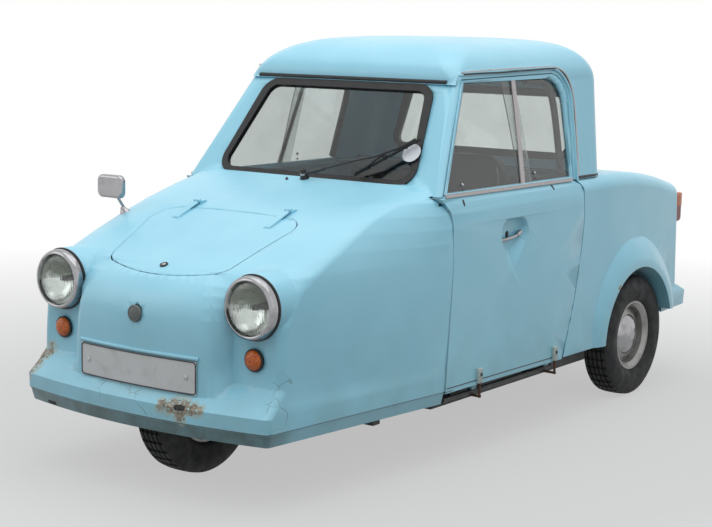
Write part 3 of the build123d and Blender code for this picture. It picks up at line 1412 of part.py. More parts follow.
screen_plane, screen_slope = sloping_plane(screen_low_y, screen_low_z, screen_top_y, screen_top_z, -1)
rear_plane, rear_slope = sloping_plane(cabin_low_rear_y, screen_low_z, cabin_top_rear_y, screen_top_z, 1)
screen_cutter, screen_seal, screen_glass = window_set(
    screen_rubber_low_half, screen_rubber_top_half, screen_rubber_low_z, screen_rubber_top_z,
    screen_rubber_corner, screen_plane, screen_slope)
rear_cutter, rear_seal, rear_glass = window_set(
    rear_glass_low_half, rear_glass_top_half, rear_glass_low_z, rear_glass_top_z,
    rear_glass_corner, rear_plane, rear_slope)

front_solid = front_form()
rear_solid = rear_form()
front_body, bonnet_lid = front_panels(screen_cutter)
rear_body, engine_lid = rear_panels()
door_left, door_panes, door_metal = door_set()
door_handle, door_hooks = door_fittings(door_left)
floor_pan, front_bulkhead, rear_bulkhead = floor_and_walls()
seat_frame, seat_cushion, seat_backrest = seat()
headlamp_bowls, headlamp_lenses, indicators, tail_lamps, nose_cap = lamps()
trailing_arms, spring_dampers = suspension()
engine_block, silencer = power_unit()

# Strap hinges: two for the bonnet, ahead of the screen, and two for the engine lid, behind the rear window
hinge_leaves = []
for x in (-lid_hinge_x, lid_hinge_x):
    leaf, strap = strap_hinge(x, lid_hinge_y, lid_hinge_z, -1, strap_tip_y, lid_back_y, bonnet_height,
                              front_solid)
    hinge_leaves.append(leaf)
    bonnet_lid = bonnet_lid + strap
engine_hinge_z = deck_height(engine_hinge_y) + engine_hinge_rise
for x in (-engine_hinge_x, engine_hinge_x):
    leaf, strap = strap_hinge(x, engine_hinge_y, engine_hinge_z, 1, engine_hinge_y + engine_strap_length,
                              engine_lid_front_y, deck_height, rear_solid)
    hinge_leaves.append(leaf)
    engine_lid = engine_lid + strap

front_rim, front_cap, front_tyre = wheel((0, front_axle_y, axle_z), 1, 0)
rear_shaft_end = arm_x - arm_width / 2 + 6 - rear_wheel_x
rear_wheels = {}
for name, side in (("left", 1), ("right", -1)):
    rim, cap, tyre = wheel((side * rear_wheel_x, rear_axle_y, axle_z), side, rear_shaft_end)
    rear_wheels["rear_rim_" + name] = rim + cap
    rear_wheels["rear_tyre_" + name] = tyre
front_bore = rod((-rim_width, front_axle_y, axle_z), (front_axle_end_x + 2, front_axle_y, axle_z),
                 stub_axle_radius + bearing_gap)

nodes = {
    "chassis_frame": chassis(),
    "floor_pan": floor_pan,
    "front_body": front_body,
    "front_skirt": skirt(),
    "rear_body": rear_body,
    "roof_shell": roof_panel(screen_cutter, rear_cutter),
    "rubber_seals": bundle(screen_seal, rear_seal, roof_seal()),
    "windscreen_glass": screen_glass,
    "rear_window_glass": rear_glass,
    "headlamp_bowls": bundle(headlamp_bowls),
    "headlamp_lenses": bundle(headlamp_lenses),
    "front_indicators": bundle(indicators),
    "tail_lamps": bundle(tail_lamps),
    "number_plates": bundle(plates()),
    "nose_cap": nose_cap,
    "wing_mirror": mirror_set(front_solid),
    "wiper": wiper_set(front_solid),
    "door_left": door_left,
    "door_right": mirrored(door_left),
    "door_glass": both_sides(door_panes),
    "window_channels": both_sides(door_metal),
    "door_handles": both_sides(door_handle),
    "door_hooks": both_sides(*door_hooks),
    "seat_frame": seat_frame,
    "seat_cushion": seat_cushion,
    "seat_backrest": seat_backrest,
    "dashboard": dashboard(),
    "front_bulkhead": front_bulkhead,
    "rear_bulkhead": rear_bulkhead,
    "trailing_arms": trailing_arms,
    "spring_dampers": spring_dampers,
    "engine_block": engine_block,
    "silencer": silencer,
    "lid_hinges": bundle(hinge_leaves),
    "bonnet_lid": bonnet_lid,
    "engine_lid": engine_lid,
    "front_fork": front_fork(),
    "tiller": tiller(),
    "front_rim": front_rim + front_cap - front_bore,
    "front_tyre": front_tyre,
    **rear_wheels,
}

for name, shape in nodes.items():
    export_step(shape, f"parts/{name}.step")
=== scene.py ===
import json
import math

import bmesh
import bpy
from mathutils import Matrix, Vector
from mathutils.bvhtree import BVHTree


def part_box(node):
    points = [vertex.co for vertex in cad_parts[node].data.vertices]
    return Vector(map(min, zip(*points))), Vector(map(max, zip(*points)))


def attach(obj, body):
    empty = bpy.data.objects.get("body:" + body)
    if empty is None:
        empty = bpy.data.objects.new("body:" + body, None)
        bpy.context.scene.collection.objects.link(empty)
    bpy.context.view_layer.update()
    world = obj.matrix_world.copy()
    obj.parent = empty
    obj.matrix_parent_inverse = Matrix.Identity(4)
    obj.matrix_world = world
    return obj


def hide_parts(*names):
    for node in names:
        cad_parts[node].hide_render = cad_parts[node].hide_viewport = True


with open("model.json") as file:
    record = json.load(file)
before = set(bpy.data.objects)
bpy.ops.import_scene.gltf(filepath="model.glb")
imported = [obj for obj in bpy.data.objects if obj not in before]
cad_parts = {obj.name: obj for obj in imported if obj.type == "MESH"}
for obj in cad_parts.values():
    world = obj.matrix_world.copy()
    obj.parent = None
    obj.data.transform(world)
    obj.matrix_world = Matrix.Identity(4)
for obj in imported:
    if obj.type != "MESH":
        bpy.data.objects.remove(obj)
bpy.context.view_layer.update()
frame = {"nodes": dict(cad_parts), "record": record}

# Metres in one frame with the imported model. X is across, +X the car's left. The nose faces -Y and Z is up.
cad = frame["nodes"]
mm = 0.001

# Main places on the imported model, in millimetres
wing_face_y = -1353
nose_cap_y = -1450
headlamp_x = 432
headlamp_z = 656
indicator_z = 485
nose_cap_z = 598
ridge_z = 318
strip_joint_z = 267.5
door_front_y = -500
front_plate_y = -1453.4
front_plate_z = 413
rear_plate_y = 1419.4
rear_plate_z = 560
plate_ledge_z = 477
handle_y = -92
handle_z = 786
door_foot_z = 279
wheel_z = 256
tiller_foot = (86, -800, 560)
tiller_lean = (0, 0.868, 0.497)
tiller_length = 380
seat_foot = (86, 285, 512)
seat_lean_deg = 12
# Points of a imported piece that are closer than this, in metres, are one
weld = 2e-5


# Materials

def tone(code, alpha=1.0):
    """An sRGB hex colour as the linear colour that the shader takes."""
    parts = [int(code[i:i + 2], 16) / 255 for i in (0, 2, 4)]
    linear = [c / 12.92 if c <= 0.04045 else ((c + 0.055) / 1.055) ** 2.4 for c in parts]
    return (*linear, alpha)


def add_node(tree, kind, links=None, **settings):
    """Adds a node to a material, sets it, and links or sets its sockets."""
    node = tree.nodes.new("ShaderNode" + kind)
    for key, value in settings.items():
        setattr(node, key, value)
    for key, value in (links or {}).items():
        if isinstance(value, bpy.types.NodeSocket):
            tree.links.new(value, node.inputs[key])
        else:
            node.inputs[key].default_value = value
    return node


def new_material(name, **sockets):
    """A material with one shader, its fixed values set on the shader's own sockets."""
    material = bpy.data.materials.new(name)
    material.use_nodes = True
    tree = material.node_tree
    shader = tree.nodes["Principled BSDF"]
    for key, value in sockets.items():
        socket = "IOR" if key == "ior" else key.replace("_", " ").title()
        shader.inputs[socket].default_value = value
    place = add_node(tree, "TexCoord").outputs["Object"]
    return material, tree, shader, place


def patches(tree, place, size_mm, low=0.0, high=1.0, detail=3.0):
    """Random patches about as wide as the given size, as a value that runs from low to high."""
    cloud = add_node(tree, "TexNoise", {"Vector": place, "Scale": 1000 / size_mm, "Detail": detail})
    return add_node(tree, "MapRange", {"Value": cloud.outputs["Fac"], "From Min": 0.3, "From Max": 0.7,
                                       "To Min": low, "To Max": high}).outputs["Result"]


def layered(tree, under, *coats):
    """A base colour under coats, each a pair of a mask and the colour that covers where the mask is 1."""
    for share, colour in coats:
        under = add_node(tree, "Mix", {0: share, 6: under, 7: colour}, data_type="RGBA").outputs[2]
    return under


# The share at which the edge of a spot begins to show, and at which the spot is full
edge_begins = 0.28
edge_full = 0.34


def near(tree, place, centre_mm, reach_mm, ragged):
    """1 close to a place, falling to 0 at its reach, with a ragged edge from the given patches."""
    centre = tuple(c * mm for c in centre_mm)
    gap = add_node(tree, "VectorMath", {0: place, 1: centre}, operation="DISTANCE").outputs["Value"]
    share = add_node(tree, "MapRange", {"Value": gap, "From Max": reach_mm * mm, "To Min": 1.0,
                                        "To Max": 0.0})
    rough = add_node(tree, "Math", {0: share.outputs["Result"], 1: ragged}, operation="MULTIPLY").outputs[0]
    return add_node(tree, "MapRange", {"Value": rough, "From Min": edge_begins,
                                       "From Max": edge_full}).outputs["Result"]


# Where the gelcoat has broken away to bare brown laminate. Columns: x, y, z, reach, in millimetres.
laminate_spots = [
    (-545, -1408, 332, 52), (-535, -1392, 356, 52), (-530, -1374, 384, 50), (-500, -1368, 396, 44),
    (-556, -1420, 306, 26), (146, -1480, 320, 34), (190, -1476, 322, 44), (226, -1470, 320, 48),
    (222, -1474, 298, 40), (270, -1470, 322, 36), (300, -1466, 322, 26),
    (672, 603, 430, 16), (683, 690, 494, 20), (655, 379, 582, 8),
]
# The painted shade of the bumper's hole, as dark spots in the same columns as the laminate spots.
hole_shade_spots = [(207, -1474, 319, 15), (221, -1473, 320, 17), (234, -1472, 319, 13)]
# Where it has only cracked, in thin dark lines.
crack_spots = [(-110, -1474, 352, 80), (0, -1482, 350, 70), (60, -1486, 300, 60), (150, -1484, 345, 70),
               (560, -1380, 400, 120), (575, -1374, 320, 80), (620, -1240, 560, 90)]


def strongest(tree, place, rows, ragged):
    """1 at any of the places in a table, 0 away from them all."""
    total = near(tree, place, rows[0][:3], rows[0][3], ragged)
    for x, y, z, reach in rows[1:]:
        spot = near(tree, place, (x, y, z), reach, ragged)
        total = add_node(tree, "Math", {0: total, 1: spot}, operation="MAXIMUM").outputs[0]
    return total


# Where the road's dirt and painted shade lie, in metres: spray that fades up the sides, with painted shade
# that darkens the sides towards the bottom, and grime that fades back from the nose, with the painted shade of
# the low strip under it
spray_and_shade_top_z = 0.66
spray_and_shade_full_z = 0.25
grime_and_shade_top_z = 0.272
grime_and_shade_full_z = 0.262
grime_and_shade_rear_y = -1.26
grime_and_shade_full_y = -1.42
joint_half_width = 0.0016


def road_film_and_shade(tree, place):
    """Masks of the spray up the sides with its painted shade, the grime under the nose with its painted shade,
    and the joint above the low strip.
    """
    axes = add_node(tree, "SeparateXYZ", {0: place}).outputs
    height = axes["Z"]
    spray_and_shade = add_node(tree, "MapRange", {"Value": height, "From Min": spray_and_shade_top_z, "From Max": spray_and_shade_full_z,
                                        "To Max": 0.75})
    spray_and_shade = add_node(tree, "Math", {0: spray_and_shade.outputs["Result"], 1: patches(tree, place, 150, 0.1, 0.7)},
                     operation="MULTIPLY").outputs[0]
    below = add_node(tree, "MapRange", {"Value": height, "From Min": grime_and_shade_top_z, "From Max": grime_and_shade_full_z})
    ahead = add_node(tree, "MapRange", {"Value": axes["Y"], "From Min": grime_and_shade_rear_y,
                                        "From Max": grime_and_shade_full_y, "To Min": 0.12})
    grime_and_shade = add_node(tree, "Math", {0: below.outputs["Result"], 1: ahead.outputs["Result"]},
                     operation="MULTIPLY").outputs[0]
    grime_and_shade = add_node(tree, "Math", {0: grime_and_shade, 1: patches(tree, place, 60, 0.75, 1.0)},
                     operation="MULTIPLY").outputs[0]
    joint = add_node(tree, "Math", {0: height, 1: strip_joint_z * mm, 2: joint_half_width},
                     operation="COMPARE").outputs[0]
    front = add_node(tree, "Math", {0: axes["Y"], 1: door_front_y * mm}, operation="LESS_THAN").outputs[0]
    joint = add_node(tree, "Math", {0: joint, 1: front}, operation="MULTIPLY").outputs[0]
    return spray_and_shade, grime_and_shade, joint


def crack_lines(tree, place):
    """A mask of thin, wandering cracks close to the places in the table."""
    near_them = strongest(tree, place, crack_spots, patches(tree, place, 40, 0.5, 1.2))
    bent = add_node(tree, "TexNoise", {"Vector": place, "Scale": 18.0}).outputs["Color"]
    bent = add_node(tree, "VectorMath", {0: bent, 1: (0.03, 0.03, 0.03)}, operation="MULTIPLY").outputs[0]
    bent = add_node(tree, "VectorMath", {0: place, 1: bent}, operation="ADD").outputs[0]
    cells = add_node(tree, "TexVoronoi", {"Vector": bent, "Scale": 11.0}, feature="DISTANCE_TO_EDGE")
    line = add_node(tree, "MapRange", {"Value": cells.outputs["Distance"], "From Min": 0.024,
                                       "From Max": 0.006}).outputs["Result"]
    line = add_node(tree, "Math", {0: line, 1: near_them}, operation="MULTIPLY").outputs[0]
    return add_node(tree, "Math", {0: line, 1: patches(tree, place, 45, 0.0, 0.9)},
                    operation="MULTIPLY").outputs[0]


def body_gelcoat():
    """Laminate painted pale blue with a brush: satin, faintly uneven, cracked and chipped in front."""
    material, tree, shader, place = new_material("gelcoat_ice_blue", ior=1.55, coat_weight=0.3,
                                                 coat_roughness=0.25)
    spray_and_shade, grime_and_shade, joint = road_film_and_shade(tree, place)
    ragged = patches(tree, place, 11, 0.2, 1.2)
    bare = strongest(tree, place, laminate_spots, ragged)
    hole_shade = strongest(tree, place, hole_shade_spots, 1.0)
    stained = strongest(tree, place, [(x, y, z, reach * 1.5) for x, y, z, reach in laminate_spots],
                        patches(tree, place, 28, 0.35, 1.1))
    stained = add_node(tree, "Math", {0: stained, 1: 0.55}, operation="MULTIPLY").outputs[0]
    # Laminate under the gelcoat: strands of glass in brown resin, dirty in its pits
    fibre = layered(tree, tone("827768"), (patches(tree, place, 5), tone("b4ab9a")),
                    (patches(tree, place, 14, -0.3, 0.9), tone("564b3d")))
    colour = layered(
        tree, tone("8ac9de"),
        (patches(tree, place, 420, detail=2), tone("96d2e5")),
        # Road spray and painted shade: the sides are painted darker towards the bottom
        (spray_and_shade, tone("7aa7b2")),
        # Grime and painted shade: the low strip under the nose is painted dark
        (grime_and_shade, tone("405c5d")),
        (stained, tone("a3a793")),
        (crack_lines(tree, place), tone("4c5a5a")),
        (joint, tone("2c3a3d")),
        (bare, fibre),
        # Painted shade: near black where the bumper's hole is
        (hole_shade, tone("0d0c0b")),
    )
    tree.links.new(colour, shader.inputs["Base Color"])
    rough = add_node(tree, "Mix", {0: bare, 2: patches(tree, place, 90, 0.3, 0.4), 3: 0.9}).outputs[0]
    tree.links.new(rough, shader.inputs["Roughness"])
    sunk = add_node(tree, "Math", {0: bare, 1: -1.2}, operation="MULTIPLY").outputs[0]
    waves = patches(tree, place, 130, detail=1)
    depth = add_node(tree, "Math", {0: waves, 1: sunk}, operation="ADD").outputs[0]
    relief = add_node(tree, "Bump", {"Height": depth, "Distance": 0.9 * mm, "Strength": 0.7})
    tree.links.new(relief.outputs["Normal"], shader.inputs["Normal"])
    return material


def finish(name, colour, rough, patch_mm=60.0, spread=0.08, depth_mm=0.2, dirt=None, dirt_share=0.0,
           **sockets):
    """One colour, with the small changes of tone, gloss and height that its making and its years leave."""
    material, tree, shader, place = new_material(name, **sockets)
    share = patches(tree, place, patch_mm)
    base = tone(colour)
    dark = tuple(c * (1 - spread) for c in base[:3]) + (1.0,)
    light = tuple(min(c * (1 + spread), 1.0) for c in base[:3]) + (1.0,)
    worn = layered(tree, dark, (share, light))
    if dirt:
        worn = layered(tree, worn, (patches(tree, place, patch_mm * 0.6, -0.4, dirt_share), tone(dirt)))
    tree.links.new(worn, shader.inputs["Base Color"])
    gloss = add_node(tree, "MapRange", {"Value": share, "To Min": rough * 0.8, "To Max": rough * 1.2})
    tree.links.new(gloss.outputs["Result"], shader.inputs["Roughness"])
    relief = add_node(tree, "Bump", {"Height": patches(tree, place, patch_mm / 12), "Distance": depth_mm * mm,
                                     "Strength": 1.0})
    tree.links.new(relief.outputs["Normal"], shader.inputs["Normal"])
    return material


flute_width = 0.009


def fluted_glass():
    """A pressed lamp lens: clear glass whose upright flutes break up what lies behind it."""
    material, tree, shader, place = new_material("pressed_lens_glass", roughness=0.06, ior=1.5,
                                                 transmission_weight=1.0)
    dusty = layered(tree, tone("dfe6e2"), (patches(tree, place, 40), tone("f2f5f3")))
    tree.links.new(dusty, shader.inputs["Base Color"])
    across = add_node(tree, "SeparateXYZ", {0: place}).outputs["X"]
    phase = add_node(tree, "Math", {0: across, 1: 2 * math.pi / flute_width}, operation="MULTIPLY").outputs[0]
    wave = add_node(tree, "Math", {0: phase}, operation="SINE").outputs[0]
    relief = add_node(tree, "Bump", {"Height": wave, "Distance": 0.25 * mm, "Strength": 0.35})
    tree.links.new(relief.outputs["Normal"], shader.inputs["Normal"])
    return material


def window_glass():
    """Toughened sheet glass, faintly green, with thin dust in soft patches."""
    material, tree, shader, place = new_material("sheet_glass", ior=1.45, transmission_weight=1.0)
    dusty = layered(tree, tone("d3d8d6"), (patches(tree, place, 200), tone("dde2e0")))
    tree.links.new(dusty, shader.inputs["Base Color"])
    tree.links.new(patches(tree, place, 120, 0.01, 0.04), shader.inputs["Roughness"])
    return material


# The heights between which the reflector's painted dark reflection sets in, in metres
dark_reflection_from_z = 0.640
dark_reflection_full_z = 0.664


def silvered():
    """A silvered reflector: bright in its lower half, with a painted dark grey green reflection over its upper
    half.
    """
    material, tree, shader, place = new_material("silvered_reflector", metallic=1.0)
    height = add_node(tree, "SeparateXYZ", {0: place}).outputs["Z"]
    wavy = patches(tree, place, 22, -0.02, 0.02)
    height = add_node(tree, "Math", {0: height, 1: wavy}, operation="ADD").outputs[0]
    upper = add_node(tree, "MapRange", {"Value": height, "From Min": dark_reflection_from_z,
                                        "From Max": dark_reflection_full_z})
    colour = layered(tree, tone("f4f5f5"), (patches(tree, place, 9, -0.8, 0.5), tone("b4b8b8")),
                     # Painted dark reflection: the upper half is painted grey green
                     (upper.outputs["Result"], tone("5d6459")))
    tree.links.new(colour, shader.inputs["Base Color"])
    tree.links.new(patches(tree, place, 25, 0.12, 0.3), shader.inputs["Roughness"])
    relief = add_node(tree, "Bump", {"Height": patches(tree, place, 12), "Distance": 0.12 * mm})
    tree.links.new(relief.outputs["Normal"], shader.inputs["Normal"])
    return material


def ribbed_lens(name, colour, deep):
    """A moulded acrylic lens: strong colour with small cells that break up its shine."""
    material, tree, shader, place = new_material(name, roughness=0.16, ior=1.49, transmission_weight=0.15)
    spots = add_node(tree, "TexVoronoi", {"Vector": place, "Scale": 190.0}).outputs["Distance"]
    blotch = add_node(tree, "MapRange", {"Value": spots, "From Min": 0.1, "From Max": 0.8}).outputs["Result"]
    tree.links.new(layered(tree, tone(colour), (blotch, tone(deep))), shader.inputs["Base Color"])
    relief = add_node(tree, "Bump", {"Height": spots, "Distance": 1.2 * mm, "Strength": 0.8})
    tree.links.new(relief.outputs["Normal"], shader.inputs["Normal"])
    return material


# Each finish by its slot, with what it gives the eye
finishes = {
    "body_paint": body_gelcoat(),
    "glass_clear": window_glass(),
    "headlamp_glass": fluted_glass(),
    # Mirror bright plating with dull films of dirt
    "chrome": finish("chromium_plate", "a3a3a6", 0.12, spread=0.06, depth_mm=0.02, dirt="6a6a68",
                     dirt_share=0.35, metallic=1.0),
    "reflector": silvered(),
    "amber_lens": ribbed_lens("amber_acrylic", "f07c12", "b04204"),
    "tail_lens": ribbed_lens("red_acrylic", "9c1a16", "5c0b0a"),
    # Soft black with a broad dull sheen
    "rubber": finish("moulded_rubber", "141517", 0.5, patch_mm=30, spread=0.15, dirt="2a2c2c",
                     dirt_share=0.3),
    # Pale, half dull metal with grey road film
    "plate_metal": finish("pressed_aluminium_plate", "c0c1c2", 0.42, patch_mm=90, spread=0.05,
                          dirt="8b8a84", dirt_share=0.25, metallic=0.25),
    # Flat mid grey, brown where dust stays
    "grey_plastic": finish("grey_nylon", "5f6463", 0.5, dirt="6d6656", dirt_share=0.35),
    # A thin bright line with a soft highlight
    "aluminium_trim": finish("bright_aluminium", "aaa5a6", 0.3, spread=0.05, depth_mm=0.01, metallic=0.8),
    # Satin black with brown dust
    "frame_paint": finish("black_stove_enamel", "1f2122", 0.5, dirt="3d3229", dirt_share=0.3),
    # Dull dark grey, trodden brown
    "floor_board": finish("painted_floor_board", "303232", 0.7, dirt="4b453c", dirt_share=0.4),
    # Dark grey with a fine grain that breaks up its sheen
    "seat_cover": finish("grained_vinyl", "3d4045", 0.48, patch_mm=12, spread=0.12, depth_mm=0.35),
    # Grey and rough, with the strands showing
    "bulkhead_fibre": finish("bare_laminate", "56585c", 0.65, patch_mm=25, spread=0.15, depth_mm=0.6),
    # Dull grey metal with a sandy skin
    "cast_metal": finish("sand_cast_alloy", "6f7171", 0.55, patch_mm=18, depth_mm=0.5, metallic=0.8),
    # Silver paint, browned by brake dust
    "rim_paint": finish("silver_wheel_enamel", "9a9998", 0.32, dirt="625c50", dirt_share=0.4,
                        metallic=0.75),
    # Nearly black and matt, greyed by the road
    "tyre_rubber": finish("tyre_rubber", "17181a", 0.72, patch_mm=40, spread=0.12, dirt="2b2a28",
                          dirt_share=0.25),
    # Brown, blotched and coarse
    "rusty_steel": finish("rusted_steel", "5e4034", 0.85, patch_mm=10, spread=0.4, depth_mm=0.5,
                          dirt="352620", dirt_share=0.6),
    # Smooth dark paint with a clear highlight
    "dark_enamel": finish("dark_enamel", "23262a", 0.35, patch_mm=30),
    # A dark, shiny spot in the middle of the reflector
    "dark_glass": finish("smoked_bulb_glass", "3c4044", 0.12, patch_mm=20),
    # Flat and nearly white
    "paper_white": finish("faded_card", "d8dade", 0.7, patch_mm=20, spread=0.04),
    # A thin grey line on the dark seat
    "pale_piping": finish("pale_piping", "8d8f8f", 0.5, patch_mm=15),
    # Pale, dry and coarse, where the paint has gone
    "pale_sealant": finish("bare_patch", "b9c4bf", 0.8, patch_mm=8, spread=0.2, depth_mm=0.6),
}

slots = {row["node"]: row["material_slot"] for row in frame["record"]["subparts"]}
for node_name, node in cad.items():
    for holder in node.material_slots:
        holder.material = finishes[slots[node_name]]


# Modelling

def begin():
    """Object mode, with nothing selected."""
    if bpy.context.object and bpy.context.object.mode != "OBJECT":
        bpy.ops.object.mode_set(mode="OBJECT")
    bpy.ops.object.select_all(action="DESELECT")


def choose(obj):
    """Object mode, with one piece selected and active."""
    begin()
    obj.select_set(True)
    bpy.context.view_layer.objects.active = obj


def shape(obj):
    """Edit mode on one piece, with nothing selected."""
    choose(obj)
    bpy.ops.object.mode_set(mode="EDIT")
    bpy.ops.mesh.select_all(action="DESELECT")


def pick(obj, kind, test):
    """Selects the faces, edges or vertices that pass a test, and nothing else."""
    bpy.ops.mesh.select_all(action="DESELECT")
    bpy.ops.mesh.select_mode(type=kind)
    mesh = bmesh.from_edit_mesh(obj.data)
    rows = {"FACE": mesh.faces, "EDGE": mesh.edges, "VERT": mesh.verts}[kind]
    for element in rows:
        element.select_set(bool(test(element)))
    bmesh.update_edit_mesh(obj.data)


def apply_place(obj):
    """Writes a piece's place, turn and scale into its mesh."""
    choose(obj)
    bpy.ops.object.transform_apply(location=True, rotation=True, scale=True)


def apply_modifier(obj, kind, **settings):
    """Adds a modifier, sets it and applies it."""
    choose(obj)
    modifier = obj.modifiers.new(kind.title(), kind)
    for key, value in settings.items():
        setattr(modifier, key, value)
    bpy.ops.object.modifier_apply(modifier=modifier.name)


def join(parts):
    """Several parts of one piece made a single mesh."""
    choose(parts[0])
    for part in parts:
        part.select_set(True)
    if len(parts) > 1:
        bpy.ops.object.join()
    return parts[0]


def merge(obj, reach=1e-6):
    """Points that lie together become one, and every face looks outwards."""
    shape(obj)
    bpy.ops.mesh.select_all(action="SELECT")
    bpy.ops.mesh.remove_doubles(threshold=reach)
    bpy.ops.mesh.normals_make_consistent(inside=False)
    begin()


def complete(obj, name, finish_name, body="car_body", angle=35, stands_for=()):
    """Ends a piece: smooth shading, its finish, picked by a slot name of the record, and the body that carries
    it.
    """
    choose(obj)
    bpy.ops.object.shade_smooth_by_angle(angle=math.radians(angle))
    obj.name = name
    obj.data.name = name
    obj.data.materials.clear()
    obj.data.materials.append(finishes[finish_name])
    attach(obj, body)
    if stands_for:
        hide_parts(*stands_for)
    return obj


def turned(profile, sides=64, closed=False):
    """A round piece: a circle is extruded and scaled up its axis to each (height, radius), in millimetres."""
    begin()
    height, radius = profile[0]
    bpy.ops.mesh.primitive_circle_add(vertices=sides, radius=radius * mm, location=(0, 0, height * mm),
                                      fill_type="NGON" if closed else "NOTHING")
    obj = bpy.context.object
    bpy.ops.object.mode_set(mode="EDIT")
    bpy.ops.mesh.select_mode(type="EDGE")
    bpy.ops.mesh.select_all(action="SELECT")
    for next_height, next_radius in profile[1:]:
        rise = (next_height - height) * mm
        bpy.ops.mesh.extrude_edges_move(TRANSFORM_OT_translate={"value": (0, 0, rise)})
        if next_radius == 0:
            bpy.ops.mesh.merge(type="CENTER")
        else:
            share = next_radius / radius
            bpy.ops.transform.resize(value=(share, share, 1), center_override=(0, 0, next_height * mm))
        height, radius = next_height, next_radius
    apply_place(obj)
    merge(obj)
    return obj


to_nose = (math.pi / 2, 0, 0)
to_left = (0, math.pi / 2, 0)
to_right = (0, -math.pi / 2, 0)


def put(obj, place, turn=(0, 0, 0), scale=(1, 1, 1)):
    """Moves a piece to its place, in millimetres, and writes that into its mesh."""
    obj.location = Vector(place) * mm
    obj.rotation_euler = turn
    obj.scale = scale
    apply_place(obj)
    return obj


def facing(direction):
    """The turn that stands a piece's Z axis along a direction."""
    return Vector(direction).to_track_quat("Z", "Y").to_euler()


def copied(obj):
    """A copy with its own mesh and none of the marks that the frame left on the node."""
    twin = obj.copy()
    twin.data = obj.data.copy()
    twin.parent = None
    for key in list(twin.keys()):
        del twin[key]
    bpy.context.scene.collection.objects.link(twin)
    return twin


def turned_over(obj):
    """The piece as it is on the other side of the car."""
    put(obj, (0, 0, 0), scale=(-1, 1, 1))
    merge(obj)
    return obj


def block(low, high, soft=0.0, steps=2):
    """A box between two corners, in millimetres, with rounded edges."""
    begin()
    bpy.ops.mesh.primitive_cube_add(size=1)
    obj = bpy.context.object
    put(obj, [(a + b) / 2 for a, b in zip(low, high)], scale=[(b - a) * mm for a, b in zip(low, high)])
    if soft:
        shape(obj)
        bpy.ops.mesh.select_all(action="SELECT")
        bpy.ops.mesh.bevel(offset=soft * mm, segments=steps, affect="EDGES")
        begin()
    return obj


def bent_rod(points, radius, smooth=False, steps=4, closed=False):
    """A bar that follows points, in millimetres. It is a curve with a round section, made a mesh."""
    begin()
    line = bpy.data.curves.new("bar_line", "CURVE")
    line.dimensions = "3D"
    line.bevel_depth = radius * mm
    line.bevel_resolution = steps
    line.use_fill_caps = True
    path = line.splines.new("NURBS" if smooth else "POLY")
    path.points.add(len(points) - 1)
    for spot, point in zip(path.points, points):
        spot.co = (*(Vector(point) * mm), 1.0)
    path.use_cyclic_u = closed
    if smooth:
        path.order_u = 3
        path.use_endpoint_u = not closed
        path.resolution_u = 8
    obj = bpy.data.objects.new("bar", line)
    bpy.context.scene.collection.objects.link(obj)
    choose(obj)
    bpy.ops.object.convert(target="MESH")
    merge(obj)
    return obj


surfaces = {}


def met(node, start, direction):
    """Where a straight line, in millimetres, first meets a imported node, and the way its face looks there."""
    if node not in surfaces:
        mesh = cad[node].data
        corners = [v.co for v in mesh.vertices]
        surfaces[node] = BVHTree.FromPolygons(corners, [f.vertices for f in mesh.polygons])
    spot, normal = surfaces[node].ray_cast(Vector(start) * mm, Vector(direction))[:2]
    return spot / mm, normal


def down_on(node, x, y):
    """Where a node is met from above."""
    return met(node, (x, y, 2000), (0, 0, -1))


def side_of(node, y, z):
    """Where a node is met from the car's left."""
    return met(node, (900, y, z), (-1, 0, 0))


# Pieces

def on_ridge(edge):
    """Whether an edge of the front body lies along the ridge of the bumper."""
    return all(v.co.y < -1.38 and abs(v.co.z - ridge_z * mm) < 0.002 for v in edge.verts)


def make_panels():
    """The moulded panels: merged copies whose long rows of facets become one sweep under the light."""
    # Columns: node, body that carries it, the least angle in degrees that stays a crease
    rows = (
        ("front_body", "car_body", 48),
        ("bonnet_lid", "bonnet", 26),
        ("roof_shell", "car_body", 26),
        ("rear_body", "car_body", 26),
        ("engine_lid", "engine_cover", 26),
        ("door_left", "car_body", 48),
        ("door_right", "car_body", 48),
        ("front_skirt", "car_body", 26),
    )
    for node, body, angle in rows:
        panel = copied(cad[node])
        merge(panel, weld)
        complete(panel, node + "_skin", "body_paint", body, angle, stands_for=(node,))
        if node == "front_body":
            shape(panel)
            pick(panel, "EDGE", on_ridge)
            bpy.ops.mesh.mark_sharp()
        apply_modifier(panel, "WEIGHTED_NORMAL", keep_sharp=True, weight=85)


# Sections of the headlamps, as (height out of the wing, radius)
bezel_section = [
    (0, 103), (3, 104.5), (12, 105), (24, 104.5), (31, 102), (36, 97.5), (38, 93), (37, 90), (32, 88.6),
    (22, 88.2), (10, 88),
]
gasket_section = [(-2, 99), (-2, 108), (2, 109), (5, 108), (6, 104), (6, 100)]
reflector_section = [(20, 88.1), (6, 81), (-10, 66), (-24, 44), (-32, 22), (-34, 8), (-34, 0)]
bulb_section = [(-34, 11), (-10, 11), (-8, 9), (4, 8.5), (9, 5), (11, 0)]
lens_section = [
    (34, 3), (33.5, 36), (31, 60), (26, 78), (20, 87), (24, 88), (28, 86), (33, 78), (36.5, 66), (38.8, 52),
    (40.2, 36), (40.9, 18), (41, 0),
]


